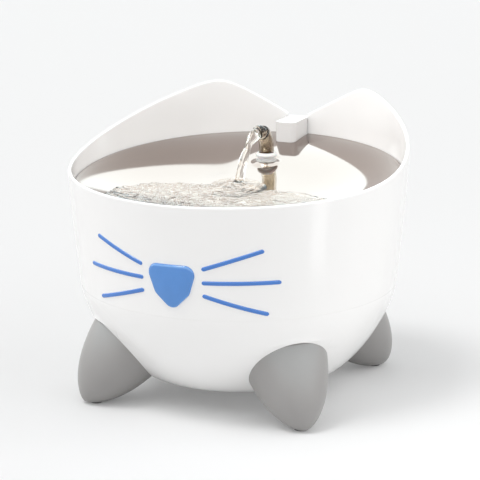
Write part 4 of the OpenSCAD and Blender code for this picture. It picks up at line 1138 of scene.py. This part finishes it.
class FOUNTAIN_OT_spout(bpy.types.Operator):
    """Builds the clear bent spout and the ring that it stands in"""

    bl_idname = "fountain.spout"
    bl_label = "Spout and ring"

    def execute(self, context):
        spout = context.scene.fountain_spout
        finishes = context.scene.fountain_finishes
        self.add_spout(spout, clear("clear plastic", finishes.clear, 1.47, rough=0.01, bump=0.02))
        ring = moulded(
            "soft ring", finishes.ring, rough=0.3, cloud=90, grain=1800, bump=0.03, spread=0.02,
            Subsurface_Weight=0.15, Subsurface_Scale=0.002,
        )
        self.add_ring(spout, ring)
        return {"FINISHED"}

    def add_spout(self, spout, finish):
        """The spout, from the spigot under the ring to the rounded mouth."""
        count = TUBE_COLUMNS
        path = spout_path(spout)
        upright = Vector((0, 1, 0))
        foot = Vector((0, spout.spout_y, spout.spigot_low_z))
        shoulder = Vector((0, spout.spout_y, spout.ring_low_z))
        bore = spout.tube_r - spout.tube_wall
        narrow = spout.spigot_r - spout.spigot_wall
        rings = [tube_ring(place, upright, spout.spigot_r, count) for place in (foot, shoulder)]
        rings += [tube_ring(place, across, spout.tube_r, count) for place, across in path]
        mouth, across = path[-1]
        along = Vector((0, -across.z, across.y))
        middle = (spout.tube_r + bore) / 2
        lip = spout.tube_wall / 2
        for k in range(1, LIP_STEPS):
            a = math.pi * k / LIP_STEPS
            place = mouth + along * (lip * math.sin(a))
            rings.append(tube_ring(place, across, middle + lip * math.cos(a), count))
        rings += [tube_ring(place, across, bore, count) for place, across in path[::-1]]
        neck = shoulder + Vector((0, 0, spout.tube_wall))
        rings[-1] = tube_ring(neck, upright, bore, count)
        rings += [tube_ring(place, upright, narrow, count) for place in (neck, foot)]
        points = [p for ring in rings for p in ring]
        faces = grid_faces(len(rings), count, closed_rows=True)
        obj = add_piece("clear_spout", points, faces, finish, "spout", ("spout",))
        face_outwards(obj.data)
        obj.data.set_sharp_from_angle(angle=math.radians(40))

    def add_ring(self, spout, finish):
        """The ring: a soft bead below and a narrow collar round the spout above it."""
        low = spout.ring_low_z
        inner = spout.tube_r + RING_GAP
        foot_r = spout.ring_r - FOOT_IN
        collar_r = spout.ring_r - COLLAR_IN
        bead_z = spout.bead_z
        middle = spout.ring_r - BEAD_R
        high = bead_z + COLLAR_TOP
        profile = [(inner, low), (foot_r - 0.2 * MM, low), (foot_r, low + 0.2 * MM)]
        profile.append((foot_r, bead_z + BEAD_FOOT))
        for k in range(BEAD_STEPS + 1):
            a = math.radians(BEAD_START + BEAD_TURN * k / BEAD_STEPS)
            profile.append((middle + BEAD_R * math.cos(a), bead_z + BEAD_R * math.sin(a)))
        profile += [(collar_r, bead_z + BEAD_R), (collar_r, high - 0.4 * MM)]
        profile += [(collar_r - 0.15 * MM, high - 0.1 * MM), (collar_r - 0.4 * MM, high), (inner, high)]
        points, faces = turned_piece(profile, spout.spout_y)
        obj = add_piece("spout_bead", points, faces, finish, "dish", ("spout_ring",))
        face_outwards(obj.data)
        obj.data.set_sharp_from_angle(angle=math.radians(60))


# ---------------------------------------------------------------- water

WATER_IOR = 1.333
# Slow waves that bend the ripples, as (height, across, along, start): across and along in waves per ripple.
WARPS = ((1.5, 0.0, 0.37, 1.7), (1.2, 0.29, 0.0, -0.8))
DRIFT = (1.3, 0.23, 0.41, 0.4)
# Families of narrow crests, as (across, along, share of the warp, start, height), and how narrow they are.
CRESTS = ((0.21, 0.62, 1.0, 0.0, 0.9), (-0.33, 0.71, -0.8, 1.9, 0.7), (0.55, 0.34, 0.9, 0.7, 0.5))
CREST_POWER = 6
# The broad swell under the crests, as (height, across, along).
SWELL = (0.35, 0.3, 0.5)
# The mound where the stream lands: how far right of the landing it lies, its squeeze across, and its wavy
# outline as (height, lobes, start).
MOUND_ASIDE = 2 * MM
MOUND_SQUEEZE = 0.92
MOUND_LOBES = ((0.07, 3, 0.6), (0.05, 5, 0))
# How steeply the mound's dome falls at its edge.
DOME_POWER = 0.8
# The ridge round the mound: its place as a share of the mound, width, height, and its reach to the front.
RIDGE_SHARE = 0.8
RIDGE_W = 1.6 * MM
RIDGE_H = 0.9 * MM
RIDGE_FRONT = 0.3
# The mound's tumble: its height, and its waves outwards, round, across and along.
TUMBLE_H = 0.45 * MM
TUMBLE_OUT = 0.9 / MM
TUMBLE_ROUND = 2.3
TUMBLE_ACROSS = 0.55 / MM
TUMBLE_ALONG = 0.4 / MM
# The film of water on the ramp: thickness, its most, its fade, its share of the ripples and its rounding.
FILM_T = 1.1 * MM
FILM_MOST = 1.4 * MM
FILM_FADE = 3 * MM
FILM_RIPPLE = 0.5
FILM_BLEND = 0.4 * MM
# The pool: the middle that its columns start from, columns, rows, and how they gather at its edge.
POOL_MIDDLE = (0.0, -34 * MM)
POOL_COLUMNS = 600
POOL_ROWS = 150
POOL_GATHER = 1.15
# Distances that are tried for the pool's edge, the least depth of water, and how far it stands in the steel.
POOL_REACHES = np.arange(2, 105, 0.25) * MM
POOL_LEAST = 0.12 * MM
POOL_SUNK = 0.4 * MM
# Width of the rounded edge of the water.
BEAD_W = 1.3 * MM
# The stream: columns, steps in the air, and its gaps inside the bore and inside the mouth's outer edge.
STREAM_COLUMNS = 36
STREAM_STEPS = 40
BORE_GAP = 0.15 * MM
MOUTH_GAP = 0.1 * MM
# Rates along the stream, per its length in the air: it bulges at the mouth, shrinks, thins and comes free.
BULGE_RATE = 12
SHRINK_RATE = 3.5
THIN_RATE = 1.3
FREE_RATE = 4
# Lobes round the stream, as (height, number, twist, start), and swellings along it, as (height, rate).
STREAM_LOBES = ((0.20, 2, 5, 1.0), (0.08, 3, -11, 1 - math.pi / 2))
SWELLING = (0.10, 19)


class FOUNTAIN_OT_water(bpy.types.Operator):
    """Builds the rippled pool, the film on the ramp and the stream from the spout"""

    bl_idname = "fountain.water"
    bl_label = "Water"

    def execute(self, context):
        scene = context.scene
        finish = clear("water", scene.fountain_finishes.water, WATER_IOR, ripple_scale=140.0, bump=0.05)
        self.add_pool(scene.fountain_water, scene.fountain_dish, scene.fountain_spout, finish)
        self.add_stream(scene.fountain_water, scene.fountain_spout, finish)
        return {"FINISHED"}

    def waves(self, water, x, y):
        """Height of the ripples: three crossing families of narrow crests that wander, on a broad swell."""
        k = 2 * math.pi / water.ripple_len

        def phase(across, along):
            return across * k * x + along * k * y

        warp = sum(height * np.sin(phase(across, along) + start) for height, across, along, start in WARPS)
        drift = DRIFT[0] * np.sin(phase(DRIFT[1], DRIFT[2]) + DRIFT[3])
        crests = 0.0
        for across, along, turn, start, height in CRESTS:
            wave = np.abs(np.sin(phase(across, along) + turn * warp + drift + start))
            crests = crests + height * (1 - wave) ** CREST_POWER
        swell = SWELL[0] * np.sin(phase(SWELL[1], SWELL[2]) + warp)
        return water.ripple * (crests + swell)

    def surface(self, water, dish, spout, x, y):
        """Height of the water's surface: the pool, the film on the ramp, and the mound under the stream."""
        ground = dish_height(dish, spout, x, y)
        away = np.hypot(MOUND_SQUEEZE * (x - water.landing_x - MOUND_ASIDE), y - water.mound_y)
        turn = np.arctan2(y - water.mound_y, x - water.landing_x)
        outline = sum(height * np.sin(lobes * turn + start) for height, lobes, start in MOUND_LOBES)
        reach = water.mound_r * (1 + outline)
        share = np.clip(away / reach, 0, 1)
        dome = (1 - share**2) ** DOME_POWER
        ridge = np.exp(-(((away - RIDGE_SHARE * reach) / RIDGE_W) ** 2))
        ridge = ridge * np.clip(RIDGE_FRONT + np.sin(turn), 0, 1)
        tumble = np.sin(TUMBLE_OUT * away + TUMBLE_ROUND * turn)
        tumble = tumble * np.sin(TUMBLE_ACROSS * x - TUMBLE_ALONG * y)
        mound = water.mound_h * dome + RIDGE_H * ridge + TUMBLE_H * tumble * dome
        ripples = self.waves(water, x, y)
        level = water.level_z + ripples + mound
        film = ground + np.where(away < reach, 1, -1) * FILM_T + FILM_RIPPLE * ripples
        film = np.minimum(film, ground + FILM_MOST * np.clip((reach - away) / FILM_FADE, -1, 1))
        return soft_max(level, film, FILM_BLEND)

    def pool_edge(self, water, dish, spout, turn):
        """Distance from the pool's middle to its edge in the directions turn."""
        reach = np.zeros_like(turn)
        wet_so_far = np.ones_like(turn, bool)
        for r in POOL_REACHES:
            x = POOL_MIDDLE[0] + r * np.cos(turn)
            y = POOL_MIDDLE[1] + r * np.sin(turn)
            wet = self.surface(water, dish, spout, x, y) > dish_height(dish, spout, x, y) + POOL_LEAST
            wet_so_far &= wet & (np.hypot(x, y - dish.centre_y) < dish.radius - dish.flange_w)
            reach = np.where(wet_so_far, r, reach)
        return reach

    def add_pool(self, water, dish, spout, finish):
        """The pool and the film as one body that stands a little inside the steel."""
        turn = np.linspace(0, 2 * math.pi, POOL_COLUMNS, endpoint=False)
        reach = self.pool_edge(water, dish, spout, turn)
        shares = 1 - np.linspace(1, 0, POOL_ROWS + 1)[1:] ** POOL_GATHER
        top = []
        bottom = []
        for share in shares:
            x = POOL_MIDDLE[0] + share * reach * np.cos(turn)
            y = POOL_MIDDLE[1] + share * reach * np.sin(turn)
            ground = dish_height(dish, spout, x, y)
            skin = self.surface(water, dish, spout, x, y)
            inward = np.clip((1 - share) * reach / BEAD_W, 0, 1)
            bead = water.edge_bead * np.sqrt(1 - (1 - inward) ** 2)
            top.append(np.stack([x, y, np.maximum(skin, ground) + bead], axis=-1))
            bottom.append(np.stack([x, y, ground - POOL_SUNK], axis=-1))
        layers = top + bottom[::-1]
        rows = len(layers)
        count = len(turn)
        faces = grid_faces(rows, count).tolist()
        last = (rows - 1) * count
        faces += [(rows * count, j, (j + 1) % count) for j in range(count)]
        faces += [(rows * count + 1, last + (j + 1) % count, last + j) for j in range(count)]
        skin = float(self.surface(water, dish, spout, *POOL_MIDDLE))
        ground = float(dish_height(dish, spout, *POOL_MIDDLE))
        middles = [[*POOL_MIDDLE, skin], [*POOL_MIDDLE, ground - POOL_SUNK]]
        points = np.vstack([np.array(layers).reshape(-1, 3), middles])
        obj = add_piece("pool", points, faces, finish, "dish")
        face_outwards(obj.data)

    def add_stream(self, water, spout, finish):
        """The stream: inside the spout, over its mouth and down in a curve to the ramp."""
        path = [place for place, _ in spout_path(spout)]
        inside = len(path)
        mouth = path[-1]
        landing = Vector((water.landing_x, water.landing_y, water.landing_z))
        distance = math.hypot(landing.x - mouth.x, landing.y - mouth.y)
        climb = distance * math.tan(math.pi / 2 - spout.bend_angle)
        fall = climb + mouth.z - landing.z
        for k in range(1, STREAM_STEPS + 1):
            t = k / STREAM_STEPS
            flat = mouth.lerp(landing, t)
            path.append(Vector((flat.x, flat.y, mouth.z + climb * t - fall * t * t)))
        bore = spout.tube_r - spout.tube_wall - BORE_GAP
        bulge = spout.tube_r - MOUTH_GAP - bore
        side = Vector((1, 0, 0))
        points = []
        for k, place in enumerate(path):
            ahead = path[min(k + 1, len(path) - 1)] - path[max(k - 1, 0)]
            over = ahead.normalized().cross(side).normalized()
            out = max(0.0, (k - inside + 1) / (len(path) - inside))
            mouth_bulge = bulge * smooth_step(out * BULGE_RATE) * (1 - smooth_step(out * SHRINK_RATE))
            radius = bore + mouth_bulge + (water.stream_r - bore) * smooth_step(out * THIN_RATE)
            free = min(1.0, FREE_RATE * out)
            swell = 1 + SWELLING[0] * math.sin(SWELLING[1] * out) * free
            for j in range(STREAM_COLUMNS):
                a = 2 * math.pi * j / STREAM_COLUMNS
                lobes = sum(h * math.cos(n * a + twist * out + start) for h, n, twist, start in STREAM_LOBES)
                r = radius * (1 + free * lobes) * swell
                points.append(tuple(place + side * (r * math.cos(a)) + over * (r * math.sin(a))))
        count = STREAM_COLUMNS
        last = (len(path) - 1) * count
        faces = grid_faces(len(path), count).tolist()
        faces.append(tuple(range(count))[::-1])
        faces.append(tuple(last + j for j in range(count)))
        obj = add_piece("stream", points, faces, finish, "spout")
        face_outwards(obj.data)


# ---------------------------------------------------------------- finishes of the carried-over nodes

# Each finish: nodes, colour, roughness, metallic, cloud scale, grain scale, bump.
INNER_FINISHES = {
    "rubber pads": (("foot_pads", "suction_cups"), (0.045, 0.045, 0.047), 0.7, 0, 60, 2500, 0.15),
    "steel screws": (("foot_screws", "impeller_shaft"), (0.55, 0.55, 0.56), 0.3, 1, 200, 4000, 0.08),
    "soft grommet": (("spout_grommet",), (0.62, 0.62, 0.6), 0.5, 0, 80, 1800, 0.06),
    "frosted riser": (("riser_tube",), (0.62, 0.66, 0.7), 0.28, 0, 50, 1400, 0.03),
    "black seal": (("module_seal", "lead_gland"), (0.03, 0.03, 0.032), 0.65, 0, 80, 2500, 0.12),
    "jack black": (("inlet_jack", "shaft_bushes"), (0.02, 0.02, 0.022), 0.32, 0, 90, 2200, 0.06),
    "board green": (("circuit_board",), (0.02, 0.16, 0.07), 0.4, 0, 260, 3000, 0.08),
    "lead black": (("pump_lead",), (0.028, 0.028, 0.03), 0.5, 0, 120, 2600, 0.1),
    "pump black": (("pump_body",), (0.03, 0.032, 0.035), 0.38, 0, 40, 1800, 0.08),
    "pump cap": (("pump_end_cap",), (0.045, 0.047, 0.05), 0.42, 0, 40, 1800, 0.08),
    "copper coil": (("stator_coil",), (0.5, 0.2, 0.09), 0.35, 1, 140, 3200, 0.2),
    "rotor white": (("impeller",), (0.76, 0.76, 0.74), 0.35, 0, 60, 1600, 0.05),
    "volute grey": (("volute_cover",), (0.05, 0.053, 0.06), 0.4, 0, 40, 1800, 0.08),
    "dial pale": (("flow_dial",), (0.66, 0.66, 0.65), 0.35, 0, 60, 1600, 0.05),
    "grille grey": (("intake_grille",), (0.06, 0.063, 0.07), 0.45, 0, 40, 1800, 0.1),
    "housing white": (("pump_housing", "housing_lid"), (0.82, 0.82, 0.81), 0.3, 0, 24, 1200, 0.04),
    "filter frame": (("filter_frame",), (0.74, 0.76, 0.78), 0.38, 0, 40, 1600, 0.05),
}


class FOUNTAIN_OT_inner(bpy.types.Operator):
    """Gives the module, the pump, the filter and the small parts their finishes"""

    bl_idname = "fountain.inner"
    bl_label = "Inner parts"

    def execute(self, context):
        finishes = context.scene.fountain_finishes
        for name, (nodes, base, rough, metallic, cloud, grain, bump) in INNER_FINISHES.items():
            material = moulded(name, base, rough, metallic, cloud, grain, bump)
            for node in nodes:
                self.finish(node, material)
        module = moulded(
            "module white", finishes.module, rough=0.18, cloud=30, grain=900, bump=0.015, spread=0.015
        )
        for node in ("module_housing", "module_cap"):
            self.finish(node, module)
        # The felt and the foam carry painted shade in the pits of their cells.
        self.finish("filter_pad", porous("filter felt", (0.07, 0.075, 0.08), 900, 0.9))
        self.finish("prefilter_foam", porous("prefilter foam", (0.24, 0.27, 0.31), 620, 1.0))
        return {"FINISHED"}

    def finish(self, node, material):
        """Puts a material on a carried-over node."""
        mesh = NODES[node].data
        mesh.materials.clear()
        mesh.materials.append(material)


# ---------------------------------------------------------------- stage

# Upward part of a direction where the dark horizon ends and where the bright walls are full.
HORIZON_END = 0.02
WALLS_FULL = 0.3
# The camera's sensor width in millimetres, and the distance that it sees to in metres.
SENSOR_WIDTH = 36
CLIP_END = 30


def add_mix(nodes, links, share, low, high, kind="FLOAT"):
    """Mixes from low to high by share. Each of the two is a value, a colour or another node's output."""
    mix = nodes.new("ShaderNodeMix")
    mix.data_type = kind
    links.new(share, mix.inputs["Factor"])
    for socket, value in (("A", low), ("B", high)):
        if isinstance(value, bpy.types.NodeSocket):
            links.new(value, mix.inputs[socket])
        else:
            mix.inputs[socket].default_value = value
    return mix.outputs["Result"]


class FOUNTAIN_OT_stage(bpy.types.Operator):
    """Builds the pale floor, the soft light and the camera"""

    bl_idname = "fountain.stage"
    bl_label = "Stage"

    def execute(self, context):
        stage = context.scene.fountain_stage
        self.add_floor(stage, context.scene.fountain_finishes.floor)
        self.add_sky(context.scene, stage)
        self.add_lamps(stage)
        self.add_camera(context.scene, stage)
        context.scene.view_settings.view_transform = "Standard"
        return {"FINISHED"}

    def add_floor(self, stage, base):
        """A wide matt floor, whose shading the camera sees mixed with a pale glow."""
        half = stage.floor_half
        mesh = bpy.data.meshes.new("floor")
        corners = [(-half, -half, 0), (half, -half, 0), (half, half, 0), (-half, half, 0)]
        mesh.from_pydata(corners, [], [(0, 1, 2, 3)])
        floor = bpy.data.objects.new("floor", mesh)
        bpy.context.scene.collection.objects.link(floor)
        finish = moulded(
            "pale floor", base, rough=0.9, cloud=2, grain=300, bump=0.0, spread=0.002, Specular_IOR_Level=0.1
        )
        nodes = finish.node_tree.nodes
        links = finish.node_tree.links
        glow = nodes.new("ShaderNodeEmission")
        glow.inputs["Strength"].default_value = stage.back_level
        path = nodes.new("ShaderNodeLightPath")
        share = nodes.new("ShaderNodeMath")
        share.operation = "MULTIPLY"
        share.inputs[1].default_value = 1 - stage.shade
        links.new(path.outputs["Is Camera Ray"], share.inputs[0])
        mix = nodes.new("ShaderNodeMixShader")
        links.new(share.outputs["Value"], mix.inputs["Fac"])
        links.new(nodes["Principled BSDF"].outputs["BSDF"], mix.inputs[1])
        links.new(glow.outputs["Emission"], mix.inputs[2])
        links.new(mix.outputs["Shader"], nodes["Material Output"].inputs["Surface"])
        mesh.materials.append(finish)

    def add_sky(self, scene, stage):
        """Soft light from all round. Gloss and clear pieces show bright walls over a darker horizon."""
        world = bpy.data.worlds.new("soft light")
        scene.world = world
        world.use_nodes = True
        nodes = world.node_tree.nodes
        links = world.node_tree.links
        background = nodes["Background"]
        way = nodes.new("ShaderNodeSeparateXYZ")
        links.new(nodes.new("ShaderNodeTexCoord").outputs["Generated"], way.inputs["Vector"])
        rise = {"start": HORIZON_END, "end": WALLS_FULL, "ease": "SMOOTHSTEP"}
        wall_level = add_range(nodes, links, way.outputs["Z"], stage.horizon_level, stage.wall_level, **rise)
        wall_share = add_range(nodes, links, way.outputs["Z"], 0, 1, **rise)
        path = nodes.new("ShaderNodeLightPath")
        shown = nodes.new("ShaderNodeMath")
        shown.operation = "MAXIMUM"
        links.new(path.outputs["Is Glossy Ray"], shown.inputs[0])
        links.new(path.outputs["Is Transmission Ray"], shown.inputs[1])
        shown = shown.outputs["Value"]
        level = add_mix(nodes, links, shown, stage.sky_level, wall_level)
        level = add_mix(nodes, links, path.outputs["Is Camera Ray"], level, stage.back_level)
        links.new(level, background.inputs["Strength"])
        walls = ((*stage.horizon_colour, 1), (*stage.wall_colour, 1))
        tint = add_mix(nodes, links, wall_share, *walls, kind="RGBA")
        tint = add_mix(nodes, links, shown, (1, 1, 1, 1), tint, kind="RGBA")
        links.new(tint, background.inputs["Color"])

    def add_lamps(self, stage):
        """A high lamp that throws the shadow, soft ones on both sides, one over the dish and a tall strip."""
        suns = (
            ("key", stage.key_level, stage.key_size, stage.key_turn, stage.key_height),
            ("left", stage.left_level, stage.side_size, stage.left_turn, stage.left_height),
            ("right", stage.right_level, stage.side_size, stage.right_turn, stage.right_height),
        )
        for name, level, size, turn, height in suns:
            flat = math.cos(height)
            source = Vector((-flat * math.cos(turn), flat * math.sin(turn), math.sin(height)))
            sun = self.place_lamp(name, "SUN", level, source)
            sun.data.angle = size
            sun.visible_glossy = name == "key"
        tilted = Vector((0, -math.sin(stage.dish_tilt), math.cos(stage.dish_tilt)))
        over = self.place_lamp("over the dish", "AREA", stage.dish_level, tilted)
        over.data.size = stage.dish_size
        over.location = (stage.dish_x, stage.dish_y, stage.dish_z)
        over.visible_camera = False
        over.visible_glossy = False
        over.visible_transmission = False
        away = Vector((math.sin(stage.strip_turn), -math.cos(stage.strip_turn), 0))
        strip = self.place_lamp("strip", "AREA", stage.strip_level, away)
        strip.data.shape = "RECTANGLE"
        strip.data.size = stage.strip_width
        strip.data.size_y = stage.strip_height
        strip.location = away * stage.strip_away + Vector((0, 0, stage.strip_height / 2))
        strip.visible_camera = False

    def place_lamp(self, name, kind, level, source):
        """Adds a lamp of this kind and level that shines from a direction."""
        lamp = bpy.data.lights.new(name, kind)
        lamp.energy = level
        obj = bpy.data.objects.new(name, lamp)
        bpy.context.scene.collection.objects.link(obj)
        obj.rotation_euler = source.to_track_quat("Z", "Y").to_euler()
        return obj

    def add_camera(self, scene, stage):
        """The camera, turned, pitched and rolled about its own place."""
        data = bpy.data.cameras.new("camera")
        data.sensor_width = SENSOR_WIDTH
        data.lens = stage.lens
        data.shift_x = stage.shift
        data.clip_end = CLIP_END
        turn = stage.camera_turn
        pitch = stage.camera_pitch
        roll = stage.camera_roll
        level = Vector((math.cos(turn), math.sin(turn), 0))
        ahead = Vector((-math.sin(turn), math.cos(turn), 0))
        forward = ahead * math.cos(pitch) + Vector((0, 0, -math.sin(pitch)))
        upward = ahead * math.sin(pitch) + Vector((0, 0, math.cos(pitch)))
        right = level * math.cos(roll) - upward * math.sin(roll)
        up = level * math.sin(roll) + upward * math.cos(roll)
        obj = bpy.data.objects.new("camera", data)
        scene.collection.objects.link(obj)
        place = Matrix.Translation((stage.camera_x, stage.camera_y, stage.camera_z))
        obj.matrix_world = place @ Matrix((right, up, -forward)).transposed().to_4x4()
        scene.camera = obj


# ---------------------------------------------------------------- panel and registration

OPERATORS = (
    FOUNTAIN_OT_stage,
    FOUNTAIN_OT_shell,
    FOUNTAIN_OT_feet,
    FOUNTAIN_OT_face,
    FOUNTAIN_OT_dish,
    FOUNTAIN_OT_spout,
    FOUNTAIN_OT_water,
    FOUNTAIN_OT_inner,
)


class FOUNTAIN_PT_panel(bpy.types.Panel):
    """Lists the fountain's operators and sizes"""

    bl_idname = "FOUNTAIN_PT_panel"
    bl_label = "Pet Water Fountain"
    bl_space_type = "VIEW_3D"
    bl_region_type = "UI"
    bl_category = "Fountain"

    def draw(self, context):
        for operator in OPERATORS:
            self.layout.operator(operator.bl_idname)
        for group_name in GROUPS:
            group = getattr(context.scene, group_name)
            box = self.layout.box()
            for key in group.bl_rna.properties.keys():
                if key not in ("rna_type", "name"):
                    box.prop(group, key)


def register():
    """Registers the sizes, the operators and the panel."""
    for group_name, group in GROUPS.items():
        bpy.utils.register_class(group)
        setattr(bpy.types.Scene, group_name, PointerProperty(type=group))
    for operator in OPERATORS:
        bpy.utils.register_class(operator)
    bpy.utils.register_class(FOUNTAIN_PT_panel)


def unregister():
    """Removes what register adds."""
    bpy.utils.unregister_class(FOUNTAIN_PT_panel)
    for operator in reversed(OPERATORS):
        bpy.utils.unregister_class(operator)
    for group_name, group in reversed(GROUPS.items()):
        delattr(bpy.types.Scene, group_name)
        bpy.utils.unregister_class(group)


def main():
    """Builds every piece in order."""
    register()
    for operator in OPERATORS:
        area, name = operator.bl_idname.split(".")
        getattr(getattr(bpy.ops, area), name)()


if __name__ == "__main__":
    main()
